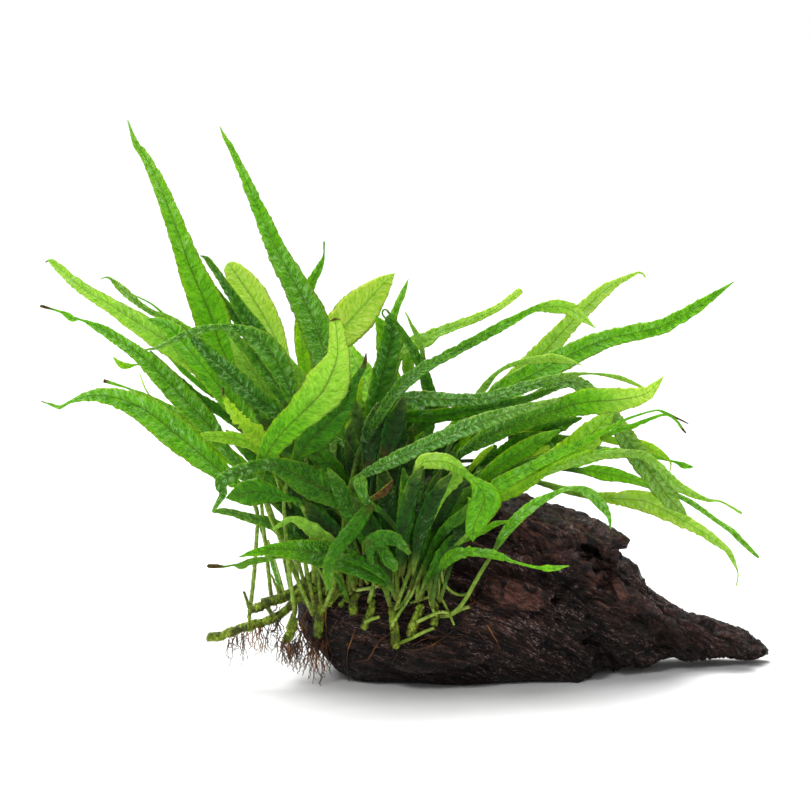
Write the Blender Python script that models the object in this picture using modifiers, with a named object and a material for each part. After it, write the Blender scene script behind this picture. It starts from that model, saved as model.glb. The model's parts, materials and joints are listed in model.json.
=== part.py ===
"""Java fern on driftwood: one dark lump of wood, the creeping rhizomes on it and the fern's fronds.

Metres, +Z up, +X along the wood, +Y away from the viewer. The origin is on the wood's flat underside.
Fronds and rhizomes are traced on the photo: a trace point is (u, v) in its pixels, and a half width
or radius in pixels too. Depths along Y are in millimetres.
"""
import math

import bmesh
import bpy
import numpy as np
from mathutils import Vector, noise
from mathutils.bvhtree import BVHTree
from mathutils.kdtree import KDTree

MM = 0.001

# How the photo was taken, which turns a traced pixel and a depth into a place
PIXEL = 0.42 * MM              # one photo pixel at the plant's middle
EYE_DISTANCE = 1.10
EYE_TILT = math.radians(8)     # the camera looks down a little
PHOTO_MIDDLE = 405             # pixels
LOOK_AT = Vector((-23.4 * MM, 0.0, 114.8 * MM))

# Sizes of the real thing
BLADE_THICKNESS = 0.9 * MM
STIPE_THICKNESS = 1.7 * MM
STIPE_HALF_WIDTH = 2.0         # pixels, 0.85 mm
CLEARANCE = 0.40 * MM          # free gap between neighbouring pieces
RINGS_PER_FROND = 16
WOOD_FACES = 2300

COLOURS = {
    "wood": (0.030, 0.022, 0.018),
    "rhizome": (0.19, 0.25, 0.035),
    "deep": (0.020, 0.085, 0.008),
    "mid": (0.045, 0.20, 0.010),
    "bright": (0.10, 0.36, 0.015),
    "lime": (0.32, 0.60, 0.045),
    "pale": (0.20, 0.38, 0.12),
    "silver": (0.16, 0.28, 0.15),
}


# ---------------------------------------------------------------- sight lines

def sight_axes():
    forward = Vector((0.0, math.cos(EYE_TILT), -math.sin(EYE_TILT)))
    up = Vector((0.0, math.sin(EYE_TILT), math.cos(EYE_TILT)))
    return forward, up, LOOK_AT - forward * EYE_DISTANCE


FORWARD, UP, EYE = sight_axes()


def sight_direction(u, v):
    """Direction from the eye through a photo pixel."""
    across = (u - PHOTO_MIDDLE) * PIXEL
    rise = (PHOTO_MIDDLE - v) * PIXEL
    return FORWARD * EYE_DISTANCE + Vector((across, 0.0, 0.0)) + UP * rise


def place(u, v, y):
    """The point seen at pixel (u, v) that lies at depth y."""
    ray = sight_direction(u, v)
    return EYE + ray * ((y - EYE.y) / ray.y)


def pixel_of(point):
    """The photo pixel at which a point is seen."""
    ray = point - EYE
    scale = EYE_DISTANCE / ray.dot(FORWARD) / PIXEL
    return PHOTO_MIDDLE + ray.x * scale, PHOTO_MIDDLE - ray.dot(UP) * scale


# ---------------------------------------------------------------- scene helpers

def clear_scene():
    for item in list(bpy.data.objects):
        bpy.data.objects.remove(item, do_unlink=True)


def new_collection(name):
    collection = bpy.data.collections.new(name)
    bpy.context.scene.collection.children.link(collection)
    return collection


def make_material(name, tone, roughness):
    material = bpy.data.materials.new(name)
    material.use_nodes = True
    shader = material.node_tree.nodes["Principled BSDF"]
    shader.inputs["Base Color"].default_value = (*COLOURS[tone], 1.0)
    shader.inputs["Roughness"].default_value = roughness
    shader.inputs["Metallic"].default_value = 0.0
    return material


def add_object(name, mesh, collection, material=None):
    item = bpy.data.objects.new(name, mesh)
    collection.objects.link(item)
    if material:
        mesh.materials.append(material)
    return item


def apply_modifiers(item):
    depsgraph = bpy.context.evaluated_depsgraph_get()
    mesh = bpy.data.meshes.new_from_object(item.evaluated_get(depsgraph))
    item.modifiers.clear()
    item.data = mesh


def loft(rings, name):
    """A closed skin over rings of equal length, with a flat cap on each end."""
    form = bmesh.new()
    rows = [[form.verts.new(point) for point in ring] for ring in rings]
    for low, high in zip(rows, rows[1:]):
        for i in range(len(low)):
            j = (i + 1) % len(low)
            form.faces.new((low[i], low[j], high[j], high[i]))
    form.faces.new(list(reversed(rows[0])))
    form.faces.new(rows[-1])
    bmesh.ops.recalc_face_normals(form, faces=form.faces)
    mesh = bpy.data.meshes.new(name)
    form.to_mesh(mesh)
    form.free()
    return mesh


def curve_through(points, steps):
    """Smooth curve through rows of numbers, with so many steps to a span."""
    rows = np.array(points, float)
    out = []
    for i in range(len(rows) - 1):
        before, a = rows[max(i - 1, 0)], rows[i]
        b, after = rows[i + 1], rows[min(i + 2, len(rows) - 1)]
        for t in np.arange(steps) / steps:
            out.append(0.5 * (2 * a + (b - before) * t + (2 * before - 5 * a + 4 * b - after) * t ** 2
                              + (3 * a - before - 3 * b + after) * t ** 3))
    out.append(rows[-1])
    return np.array(out)


# ---------------------------------------------------------------- driftwood

# Sections of the wood's main mass along its length: (u, top v, bottom v) in pixels,
# then its middle depth and half depth in millimetres
WOOD_SECTIONS = [
    (299, 610, 628, -6, 8), (308, 580, 644, -5, 17), (322, 549, 664, -3, 24), (345, 523, 683, -2, 30),
    (375, 501, 696, 0, 34), (405, 485, 701, 2, 37), (440, 476, 705, 3, 39), (470, 484, 705, 4, 40),
    (500, 494, 701, 4, 39), (530, 503, 699, 4, 37), (560, 521, 700, 4, 34), (585, 544, 693, 5, 30),
    (610, 563, 675, 7, 26), (635, 576, 669, 9, 22), (660, 596, 665, 11, 18), (690, 611, 662, 13, 14),
    (720, 619, 660, 15, 11), (746, 630, 660, 16, 8), (767, 647, 655, 17, 3),
]
# The thin upper sheet that runs out to a sharp lip on the right
FLAP_SECTIONS = [
    (480, 492, 524, -6, 24), (520, 500, 538, -8, 26), (555, 513, 545, -10, 25), (585, 525, 549, -11, 21),
    (610, 533, 551, -12, 15), (624, 538.5, 547, -12, 8), (634, 541, 544.5, -12, 2.5),
]
WOOD_RING = 22
# Hollows: pixel of the middle, depth, half sizes along X, Y, Z and turn, in millimetres and degrees
WOOD_HOLLOWS = [
    (464, 579, -38, 6.5, 7, 9.5, 12), (612, 567, -20, 20, 12, 5.0, 30), (581, 614, -29, 5.5, 6, 12, -18),
    (603, 679, 0, 5.0, 50, 4.5, 0), (545, 628, -38, 24, 5, 3.0, 8), (390, 640, -37, 14, 5, 3.0, -20),
]
# Raised places, in the same terms
WOOD_LUMPS = [
    (514, 590, -33, 13, 7, 7.5, 10), (566, 556, -27, 15, 6, 3.0, 35), (640, 606, -11, 26, 6, 3.2, 33),
    (730, 640, 5, 11, 6, 4.0, 20), (330, 600, -22, 8, 8, 12, 0), (437, 655, -33, 22, 7, 7, 0),
    (430, 494, 18, 16, 12, 9, 0), (520, 640, 34, 20, 8, 14, 0), (613, 566, 5, 17, 15, 6.5, 35),
]


def wood_rings(sections):
    """Rounded sections, slightly squared, whose top and bottom follow the traced outline."""
    rows = curve_through(sections, 2)
    rings = []
    for u, top, bottom, middle, half in rows:
        y_middle, half_depth = middle * MM, half * MM
        high = place(u, top, y_middle).z
        low = place(u, bottom, y_middle - 0.7 * half_depth).z
        ring = []
        for k in range(WOOD_RING):
            turn = 2 * math.pi * k / WOOD_RING
            y = y_middle + half_depth * math.copysign(abs(math.cos(turn)) ** 0.8, math.cos(turn))
            rise = math.copysign(abs(math.sin(turn)) ** 0.85, math.sin(turn))
            z = (high + low) / 2 + (high - low) / 2 * rise
            ring.append(Vector((place(u, (top + bottom) / 2, y).x, y, z)))
        rings.append(ring)
    return rings


def add_ellipsoid(name, row, collection):
    u, v, depth, half_x, half_y, half_z, turn = row
    bpy.ops.mesh.primitive_ico_sphere_add(subdivisions=3, radius=1.0, location=place(u, v, depth * MM))
    item = bpy.context.object
    item.name = name
    item.scale = (half_x * MM, half_y * MM, half_z * MM)
    item.rotation_euler = (0.0, math.radians(turn), 0.0)
    for other in list(item.users_collection):
        other.objects.unlink(item)
    collection.objects.link(item)
    item.hide_render = True
    item.display_type = "WIRE"
    return item


def add_boolean(item, other, operation):
    step = item.modifiers.new(other.name, "BOOLEAN")
    step.operation = operation
    step.solver = "EXACT"
    step.object = other


def roughen_wood(mesh):
    """Broad weathered waves and furrows that run along the wood."""
    for vertex in mesh.vertices:
        x, y, z = vertex.co
        broad = noise.noise(vertex.co * 38.0)
        grain = noise.noise(Vector((x * 26.0 + 3, y * 95.0 + 7, z * 115.0 + 1)))
        vertex.co += vertex.normal * (2.0 * broad + 1.7 * grain) * MM


def build_wood(collection, helpers):
    wood = add_object("driftwood", loft(wood_rings(WOOD_SECTIONS), "driftwood"), collection)
    flap_mesh = loft(wood_rings(FLAP_SECTIONS), "driftwood_flap_form")
    flap = add_object("driftwood_flap_form", flap_mesh, helpers)
    flap.hide_render = True
    flap.display_type = "WIRE"
    add_boolean(wood, flap, "UNION")
    for i, row in enumerate(WOOD_LUMPS):
        add_boolean(wood, add_ellipsoid(f"driftwood_lump_form_{i + 1}", row, helpers), "UNION")
    for i, row in enumerate(WOOD_HOLLOWS):
        add_boolean(wood, add_ellipsoid(f"driftwood_hollow_cutter_{i + 1}", row, helpers), "DIFFERENCE")
    skin = wood.modifiers.new("even skin", "REMESH")
    skin.mode = "VOXEL"
    skin.voxel_size = 1.6 * MM
    apply_modifiers(wood)
    roughen_wood(wood.data)

    form = bmesh.new()
    form.from_mesh(wood.data)
    cut = bmesh.ops.bisect_plane(form, geom=list(form.verts) + list(form.edges) + list(form.faces),
                                 plane_co=(0, 0, 0), plane_no=(0, 0, -1), clear_outer=True)
    rim = [part for part in cut["geom_cut"] if isinstance(part, bmesh.types.BMEdge)]
    bmesh.ops.triangle_fill(form, edges=rim, use_beauty=True)
    bmesh.ops.recalc_face_normals(form, faces=form.faces)
    form.to_mesh(wood.data)
    form.free()

    fewer = wood.modifiers.new("fewer faces", "DECIMATE")
    fewer.ratio = WOOD_FACES / sum(len(face.vertices) - 2 for face in wood.data.polygons)
    apply_modifiers(wood)
    for vertex in wood.data.vertices:      # the foot stays truly flat
        if abs(vertex.co.z) < 0.05 * MM:
            vertex.co.z = 0.0
    wood.data.materials.clear()
    wood.data.materials.append(make_material("driftwood", "wood", 0.35))
    return wood


# ---------------------------------------------------------------- rhizomes

# (name, depth where the wood doesn't carry it, [(u, v, radius), ...])
RHIZOMES = [
    ("rhizome_left", -22, [
        (207, 637, 4.2), (214, 638, 4.5), (222, 637, 4.2), (232, 632, 4.5), (243, 626, 4.2),
        (253, 624, 4.5), (263, 624, 4.2), (272, 620, 4.4), (281, 615, 4.2), (289, 609, 4.0),
        (296, 601, 4.2), (301, 594, 4.6), (306, 589, 5.2), (311, 585, 4.4)]),
    ("rhizome_left_upright", -33, [
        (284, 642, 3.2), (287, 639, 4.2), (291, 635, 4.5), (295, 626, 4.4), (295, 618, 3.4)]),
    ("rhizome_front_forked", -45, [
        (318, 637, 4.2), (318, 625, 4.5), (319, 615, 4.4), (321, 608, 4.2), (325, 600, 3.6)]),
    ("rhizome_front_short", -60, [
        (354, 615, 4.0), (352, 607, 3.8), (352, 601, 3.8), (355, 595, 3.6), (360, 591, 2.8)]),
    ("rhizome_front_slim", -60, [
        (363, 629, 3.2), (366, 623, 3.6), (370, 615, 3.4), (373, 607, 3.2), (373, 600, 2.8)]),
    ("rhizome_front_long", -70, [
        (396, 648, 3.8), (397, 639, 4.2), (395, 630, 4.0), (392, 619, 3.9), (391, 609, 3.8),
        (394, 602, 3.4)]),
    ("rhizome_front_right", -70, [
        (410, 637, 4.2), (412, 629, 4.5), (416, 620, 4.2), (419, 612, 4.0), (421, 605, 3.4)]),
    ("rhizome_right_end", -70, [
        (434, 625, 3.2), (437, 616, 3.6), (436, 609, 3.6), (434, 602, 3.2)]),
]
# The branch that forks off the left rhizome: depth and trace, in the same terms
LEFT_BRANCH = (-18, [(251, 611, 3.6), (260, 607, 4.4), (270, 601, 4.4), (280, 598, 4.8), (290, 597, 4.4),
                     (300, 595, 4.0)])
# Rhizomes out of sight on the wood's top and back: (name, [(x, y, radius), ...]) in millimetres
TOP_RHIZOMES = [
    ("rhizome_crest", [
        (-52, 9, 1.6), (-44, 11, 1.9), (-35, 13, 1.9), (-25, 15, 1.9), (-15, 14, 1.9), (-6, 13, 1.9),
        (4, 14, 1.9), (14, 12, 1.5)]),
    ("rhizome_back", [(-34, 27, 1.5), (-25, 29, 1.9), (-15, 30, 1.9), (-5, 31, 1.9), (6, 30, 1.6)]),
]
TOP_NAMES = [name for name, _ in TOP_RHIZOMES]
FRONT_AWAY = Vector((0.0, -0.8, 0.6))      # off the wood's front and off its top
TOP_AWAY = Vector((0.0, 0.25, 0.97))


def keep_off(point, radius, surface, toward):
    """Moves a point along a direction until a ball on it clears the surface."""
    for _ in range(200):
        near, normal, _, distance = surface.find_nearest(point)
        inside = (point - near).dot(normal) < 0
        if not inside and distance >= radius + CLEARANCE:
            return point
        point = point + toward * 0.15 * MM
    return point


def front_rhizome_path(depth, trace, wood_surface):
    path = []
    for u, v, radius in trace:
        ray = sight_direction(u, v).normalized()
        hit = wood_surface.ray_cast(EYE, ray)[0]
        point = place(u, v, depth * MM)
        if hit is not None:
            point = hit - ray * radius * PIXEL
        path.append((keep_off(point, radius * PIXEL, wood_surface, -ray), radius * PIXEL))
    return path


def top_rhizome_path(rows, wood_surface):
    path = []
    for x, y, radius in rows:
        top = wood_surface.ray_cast(Vector((x * MM, y * MM, 0.3)), Vector((0, 0, -1)))[0]
        path.append((keep_off(top, radius * MM, wood_surface, TOP_AWAY), radius * MM))
    return path


def add_tube(name, path, collection, material=None):
    """A round closed tube through points that each have a radius."""
    curve = bpy.data.curves.new(name, "CURVE")
    curve.dimensions = "3D"
    curve.bevel_depth = 1.0
    curve.bevel_resolution = 1
    curve.use_fill_caps = True
    spline = curve.splines.new("POLY")
    spline.points.add(len(path) - 1)
    for knot, (point, radius) in zip(spline.points, path):
        knot.co = (*point, 1.0)
        knot.radius = radius
    item = bpy.data.objects.new(name, curve)
    collection.objects.link(item)
    depsgraph = bpy.context.evaluated_depsgraph_get()
    mesh = bpy.data.meshes.new_from_object(item.evaluated_get(depsgraph))
    bpy.data.objects.remove(item, do_unlink=True)
    form = bmesh.new()
    form.from_mesh(mesh)
    bmesh.ops.remove_doubles(form, verts=form.verts, dist=0.01 * MM)
    bmesh.ops.recalc_face_normals(form, faces=form.faces)
    form.to_mesh(mesh)
    form.free()
    mesh.materials.clear()
    return add_object(name, mesh, collection, material)


def even_path(path):
    """Keeps a laid path smooth between its first and last points."""
    points = [point for point, _ in path]
    for _ in range(2):
        points = [points[0]] + [(points[i - 1] + points[i] * 2 + points[i + 1]) / 4
                                for i in range(1, len(points) - 1)] + [points[-1]]
    return [(point, radius) for point, (_, radius) in zip(points, path)]


def build_rhizomes(collection, helpers, wood_surface):
    tubes = []
    paths = [(name, front_rhizome_path(depth, trace, wood_surface)) for name, depth, trace in RHIZOMES]
    paths += [(name, top_rhizome_path(rows, wood_surface)) for name, rows in TOP_RHIZOMES]
    for name, path in paths:
        away = TOP_AWAY if name in TOP_NAMES else FRONT_AWAY
        path = [(keep_off(point, radius * 1.2, wood_surface, away), radius)
                for point, radius in even_path(path)]
        tubes.append(add_tube(name, path, collection, make_material(name, "rhizome", 0.5)))
    path = even_path(front_rhizome_path(*LEFT_BRANCH, wood_surface))
    branch = add_tube("left_branch_form", path, helpers)
    branch.hide_render = True
    branch.display_type = "WIRE"
    add_boolean(tubes[0], branch, "UNION")
    apply_modifiers(tubes[0])
    return tubes


# ---------------------------------------------------------------- fronds

# Each frond: name, tone, depths of base, middle and tip, turns about its length there (degrees),
# then its trace from tip to base: (u, v, half width). Past the last point the stipe goes on
# to its root, (u, v), with the stipe's own half width.
FRONDS = [
    ("frond_tall_left", "mid", (-16, 6, 10), (10, -12, -22), [
        (128, 121, .5), (130, 126, 1.5), (132, 133, 2), (136, 145, 3.5), (142, 152, 4), (152.5, 170, 6),
        (158, 183, 7), (165, 200, 8), (171, 215, 9), (176.5, 230, 9.8), (183, 250, 11.5), (195, 280, 14),
        (204, 300, 16.5), (212, 320, 18), (222, 350, 16.5), (232, 370, 14.5), (241, 395, 10.5),
        (249, 425, 7), (256, 460, 3), (262, 505, 2), (264, 535, 2), (268, 565, 2), (271, 595, 2)]),
    ("frond_tall_right", "mid", (-32, -6, 4), (5, 14, 20), [
        (220, 127, .5), (226, 140, 2.5), (232.5, 150, 3), (242.5, 172, 4.5), (257, 205, 6.3),
        (268, 230, 8.5),
        (282, 260, 10.7), (299, 290, 13), (310, 312, 15), (317, 330, 15), (324, 352, 14), (330, 385, 10),
        (333, 420, 6), (333, 460, 3), (330, 540, 2), (327, 595, 2)]),
    ("frond_left_high", "mid", (-16, 10, 18), (0, 20, 30), [
        (46, 262, .5), (50, 260, 2), (60, 269, 5), (80, 286, 6.5), (100, 299, 6.5), (120, 310, 9),
        (140, 324, 11), (160, 336, 13), (180, 350, 12), (200, 366, 11), (225, 398, 7), (248, 430, 4),
        (268, 462, 2), (283, 495, 2), (290, 530, 2), (299, 587, 2)]),
    ("frond_left_broad", "mid", (-14, 0, 6), (0, 25, 20), [
        (148, 319, 1), (160, 322, 5), (170, 327, 7), (180, 338, 10), (190, 350, 12), (205, 368, 12),
        (225, 392, 12), (245, 415, 10), (262, 435, 6), (275, 452, 3), (290, 480, 2), (302, 540, 2),
        (307, 578, 2)]),
    ("frond_left_wavy", "mid", (-14, -6, -4), (0, -15, 35), [
        (41, 306, 1.5), (48, 309, 1), (58, 311, 1), (66, 314, 3), (72, 319, 3.5), (80, 319.5, 1),
        (87, 322, 2),
        (95, 325, 3.5), (105, 331, 5), (120, 341, 5), (130, 348, 6), (140, 355, 8), (155, 368, 10),
        (170, 386, 12), (190, 405, 12), (208, 425, 10), (225, 450, 6), (245, 470, 3), (262, 490, 2),
        (278, 532, 2), (291, 591, 2)]),
    ("frond_left_slender", "silver", (12, 34, 58), (0, 20, 10), [
        (101, 279, .5), (107, 277, 1), (113, 280.5, 2), (118, 285, 3), (124, 291, 4.5), (137, 301, 4),
        (150, 312, 3), (170, 321, 4), (186, 331, 4), (215, 362, 6), (255, 410, 6), (290, 460, 4),
        (325, 510, 2), (345, 528, 2)]),
    ("frond_left_arching", "mid", (-26, -40, -56), (0, 15, -35), [
        (42, 401.5, .5), (48, 403.5, 2.5), (55, 406, 2), (62, 407, 2), (70, 402, 1.5), (80, 398, 4.5),
        (90, 396, 5), (105, 396, 7.5), (120, 399, 9.5), (135, 405, 12), (150, 413, 14), (165, 425, 16),
        (180, 437, 15), (195, 449, 15), (210, 462, 12), (225, 475, 8), (245, 492, 3), (255, 506, 2),
        (258, 520, 2), (256, 545, 2), (254, 575, 2), (251, 600, 2), (249, 618, 2)]),
    ("frond_left_silver_arch", "silver", (-20, -28, -42), (0, -25, 40), [
        (141, 350, .5), (147, 348.5, 1.5), (158, 348, 1.5), (165, 345, 1.5), (176, 338, 3), (190, 332.5, 4),
        (205, 328.5, 4), (220, 326.5, 2.5), (235, 328, 3), (250, 334, 8), (262, 343, 11), (272, 354, 12),
        (281, 370, 11), (288, 388, 8), (296, 410, 4), (305, 450, 2), (312, 520, 2), (321, 601, 2)]),
    ("frond_left_brown_tip", "mid", (-10, 10, 14), (0, 10, 0), [
        (105, 381, 2), (112, 383, 2.5), (124, 387, 1), (138, 392, 1.5), (150, 398, 3), (165, 406, 4),
        (180, 415, 4), (195, 427, 3), (215, 445, 3), (245, 480, 2), (262, 530, 2), (281, 592, 2)]),
    ("frond_left_hooked", "bright", (-24, -26, -30), (0, 20, 10), [
        (179, 456, 1), (184, 451, 3.5), (190, 445, 4), (200, 438, 3.5), (210, 436, 5), (225, 437, 6),
        (240, 439, 7), (252, 444, 6), (265, 455, 4), (276, 475, 2), (290, 530, 2), (304, 583, 2)]),
    ("frond_left_folded", "silver", (-44, -48, -52), (0, -20, 25), [
        (213, 511, 1.5), (219, 501, 3), (223, 493, 4), (221, 486, 6), (224, 478, 7), (235, 473, 7),
        (248, 469, 6), (262, 465, 5.5), (277, 466, 8), (292, 474, 13), (308, 482, 16), (325, 490, 15),
        (341, 498, 12), (356, 507, 7), (370, 524, 3), (378, 560, 2), (369, 602, 2)]),
    ("frond_left_leaflet", "mid", (-24, -50, -62), (0, 10, -20), [
        (226, 498, .5), (235, 496, 7), (247, 493, 13), (260, 492, 12), (275, 495, 7), (290, 499, 3),
        (300, 503, 2), (310, 530, 2), (314, 583, 2)]),
    ("frond_left_jagged", "lime", (-34, -34, -33), (0, 10, -15), [
        (223, 388, 1), (224, 397, 1.5), (230, 406, 4), (236, 416, 7), (245, 425, 7), (255, 433, 9),
        (263, 441, 10), (270, 452, 7), (276, 462, 4), (285, 490, 2), (300, 540, 2), (315, 609, 2)]),
    ("frond_back_lime", "lime", (14, 32, 44), (0, 8, -8), [
        (231, 267, 8), (236, 275, 13.5), (244, 286, 16), (254, 300, 16), (265, 318, 15), (274, 335, 12),
        (281, 350, 8), (287, 365, 5), (298, 410, 3), (322, 470, 2), (345, 512, 2)]),
    ("frond_back_slim", "deep", (10, 14, 18), (0, 10, 20), [
        (201, 256, .7), (206, 258, 2), (211, 264, 3.5), (220, 277, 4), (230, 292, 5), (240, 307, 6),
        (250, 322, 8), (260, 334, 8), (276, 365, 6), (300, 420, 3), (330, 480, 2), (354, 506, 2)]),
    ("frond_spoon_tip", "mid", (16, 34, 44), (0, 10, 0), [
        (324, 242, 1), (324, 246, 1.8), (324, 254, .8), (322, 262, 2.5), (318, 270, 4.5), (313, 279, 5),
        (308, 290, 6), (304, 305, 7), (302, 340, 8), (308, 380, 6), (325, 430, 3), (352, 480, 2),
        (366, 498, 2)]),
    ("frond_lime_veined", "lime", (12, 28, 42), (0, 10, -10), [
        (394, 274, 1), (384, 283, 8), (375, 293, 15), (365, 304, 19), (355, 315, 22), (345, 326, 21),
        (336, 337, 17), (326, 352, 10), (320, 375, 5), (326, 420, 2.5), (350, 470, 2), (374, 492, 2)]),
    ("frond_front_pale", "pale", (-34, -46, -54), (0, 10, -25), [
        (335, 322, 6), (337, 340, 8.5), (337, 355, 11), (333, 370, 17), (326, 385, 22), (318, 397, 19),
        (305, 410, 16), (290, 424, 14), (278, 438, 13), (268, 452, 10), (261, 470, 5), (262, 488, 2),
        (267, 508, 2), (276, 530, 2), (287, 556, 2), (291, 585, 2), (295, 614, 2)]),
    ("frond_front_dark", "deep", (-44, -43, -42), (0, -20, 30), [
        (366, 354, .7), (364, 366, 2.5), (356, 379, 4), (351, 391, 6), (346, 402, 9), (337, 414, 12.5),
        (325, 426, 15), (312, 438, 15), (303, 449, 10), (296, 459, 5), (288, 480, 2), (284, 505, 2),
        (289, 557, 2), (300, 585, 2), (313, 615, 2)]),
    ("frond_left_streaked", "deep", (-44, -14, -16), (0, 25, 10), [
        (190, 334, 3), (205, 350, 7), (220, 364, 9), (235, 378, 10), (250, 392, 10), (265, 404, 9),
        (280, 414, 8), (300, 435, 4), (325, 490, 2), (345, 545, 2), (351, 594, 2)]),
    ("frond_upright_slim", "mid", (14, 24, 32), (0, 10, 10), [
        (408, 280, .5), (405, 289, 2.5), (400, 299, 3.5), (396, 309, 3.5), (391, 325, 5), (386, 350, 6),
        (381, 385, 5), (384, 430, 3), (390, 470, 2), (396, 487, 2)]),
    ("frond_upright_broad", "deep", (-40, -8, -2), (0, -15, -30), [
        (391, 317, 5), (391, 323, 8), (391, 330, 10), (391, 338, 10.5), (389, 350, 11), (385, 365, 11),
        (381, 380, 11), (377, 395, 10), (373, 410, 9), (371, 435, 5), (372, 480, 2), (372, 540, 2),
        (374, 595, 2)]),
    ("frond_curled_tip", "deep", (-58, -16, -8), (0, 30, 20), [
        (386, 319, 1), (382, 314, 1), (384, 309.5, 1), (389, 312, 1), (393, 319, 1.5), (400, 329, 3),
        (405, 336, 3.5), (413, 350, 4), (419, 360, 6), (423, 370, 5), (427, 382, 6.5), (430, 392, 7),
        (431, 415, 6), (424, 455, 4), (410, 510, 2), (394, 560, 2), (393, 596, 2)]),
    ("frond_right_bow", "mid", (-44, -26, -30), (0, 35, -20), [
        (595, 327.5, .5), (585, 319, 4), (575, 312, 6), (565, 307.5, 6.8), (552, 306.5, 6), (540, 308, 4.5),
        (528, 312, 2.8), (515, 319, 3.8), (500, 327, 4.8), (485, 335, 5.5), (465, 346, 5), (445, 357, 5),
        (428, 366, 5.5), (415, 375, 6.5), (403, 385, 7), (393, 397, 7), (386, 407, 6), (379, 418, 5),
        (372, 431, 4), (365, 443, 3), (358, 456, 2.5), (350, 490, 2), (343, 550, 2), (331, 597, 2)]),
    ("frond_right_blunt", "pale", (12, 16, 26), (0, 20, 15), [
        (520, 291, 3.5), (512, 297, 3.5), (502, 305, 3.8), (490, 312, 4), (478, 317, 4.5), (465, 322, 5),
        (450, 328, 5), (435, 334, 5.5), (425, 340, 8), (415, 343, 8), (405, 348, 7), (396, 362, 5),
        (392, 400, 3), (398, 450, 2), (404, 485, 2)]),
    ("frond_right_pale_arc", "pale", (-46, -12, -4), (0, 30, -30), [
        (581, 364.5, .5), (572, 362, 2.5), (562, 360, 4), (552, 358, 4.5), (540, 359.5, 4), (525, 361, 3.5),
        (512, 365, 2.5), (500, 370.5, 2), (492, 379, 2.5), (482, 390, 4), (468, 412, 4), (448, 450, 2.5),
        (432, 520, 2), (422, 599, 2)]),
    ("frond_right_rising", "bright", (14, 40, 64), (0, -10, 10), [
        (645, 277, 1), (643, 274, 1), (638, 272.5, 1.5), (632, 276, 1.5), (625, 279, 3), (615, 283, 4.5),
        (605, 290, 6.5), (597, 297, 7.5), (588, 305, 8), (580, 313, 9), (571, 322, 9.5), (562, 332, 9.5),
        (552, 343, 10.5), (542, 354, 12), (526, 371, 12), (511, 385, 11), (497, 398, 8.5), (482, 418, 5),
        (470, 434, 3), (456, 448, 2), (430, 462, 2)]),
    ("frond_right_long", "mid", (12, 16, 22), (0, 20, 10), [
        (732, 283, .7), (722, 290, 2), (712, 297, 4), (700, 305, 5.5), (688, 313, 6.5), (675, 320, 7.5),
        (660, 327, 8), (645, 331, 8), (630, 334, 8.5), (615, 337, 9), (600, 342, 10), (585, 348, 11),
        (570, 356, 12), (555, 363, 12.5), (540, 371, 12.5), (521, 381, 12), (503, 391, 11),
        (486, 405, 8), (468, 426, 5), (450, 450, 3), (422, 480, 2)]),
    ("frond_right_level", "silver", (-38, -18, -14), (0, 20, 30), [
        (646, 389, 1), (633, 383, 2), (622, 378.5, 2.5), (610, 376, 2), (597, 374, 1.5), (585, 373.5, 1),
        (573, 374.5, 2), (562, 377, 4), (550, 380, 5), (535, 384, 5), (520, 389, 6), (505, 394, 6),
        (490, 398, 6), (475, 400, 6), (460, 400, 6.5), (445, 400, 8), (430, 399, 8), (415, 399, 8),
        (400, 400, 6), (388, 408, 3), (378, 440, 2), (368, 520, 2), (361, 586, 2)]),
    ("frond_right_drooping", "silver", (12, 4, 0), (0, 30, 10), [
        (686, 514, 1), (672, 502, 8), (663, 490, 10), (653, 477, 11), (643, 463, 11), (632, 448, 10),
        (622, 433, 10), (612, 418, 8), (602, 404, 8), (590, 392, 7), (578, 384, 7), (565, 382, 6),
        (550, 389, 5), (530, 398, 4), (505, 412, 4), (470, 445, 2), (438, 478, 2)]),
    ("frond_right_broad", "lime", (-46, -26, -30), (0, -15, 10), [
        (663, 377, .7), (657, 383, 3), (650, 391, 6), (640, 396, 8.5), (628, 398.5, 10), (615, 400, 12),
        (600, 400.5, 13.5), (585, 402, 13), (570, 405, 12), (555, 410, 10), (535, 417, 9), (515, 424, 9),
        (500, 431, 9), (485, 438, 8), (468, 448, 5), (452, 462, 3), (437, 482, 2), (424, 520, 2),
        (417, 602, 2)]),
    ("frond_right_slanting", "silver", (-44, -48, -44), (0, 25, 10), [
        (558, 400, 1.5), (545, 403, 3.5), (530, 407, 4), (515, 411, 5.5), (500, 416, 7), (485, 421, 7.5),
        (470, 427, 8), (455, 433, 8), (440, 440, 7.5), (425, 446, 7.5), (410, 453, 7.5), (395, 460, 7),
        (380, 467, 6), (365, 474, 4), (352, 484, 3), (345, 510, 2), (340, 560, 2), (325, 608, 2)]),
    ("frond_right_spade_tip", "mid", (17, 30, 44), (0, 20, 10), [
        (693, 467, .7), (685, 466, 3.5), (678, 463, 2.5), (672, 461, 1), (665, 459.5, 1.5), (655, 457, 2.5),
        (645, 455, 4), (630, 454, 5), (615, 453.5, 5.5), (600, 455, 6), (590, 458, 6), (575, 464, 4),
        (540, 468, 3), (500, 461, 2), (465, 461, 2), (448, 464, 2)]),
    ("frond_right_fold_over", "lime", (-46, -16, -6), (0, 10, -10), [
        (612, 411, 3), (606, 417, 8), (597, 428, 12), (586, 440, 14), (573, 449, 13), (560, 457, 12),
        (545, 465, 10), (530, 473, 8), (515, 481, 6), (485, 502, 2.5), (455, 545, 2), (435, 596, 2)]),
    ("frond_right_ribbed", "mid", (-48, -34, -38), (0, 25, 50), [
        (687, 423, .7), (680, 420, 1), (666, 413, 1.5), (658, 410.5, 1), (650, 411.5, 1), (638, 415, 1.2),
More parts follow.
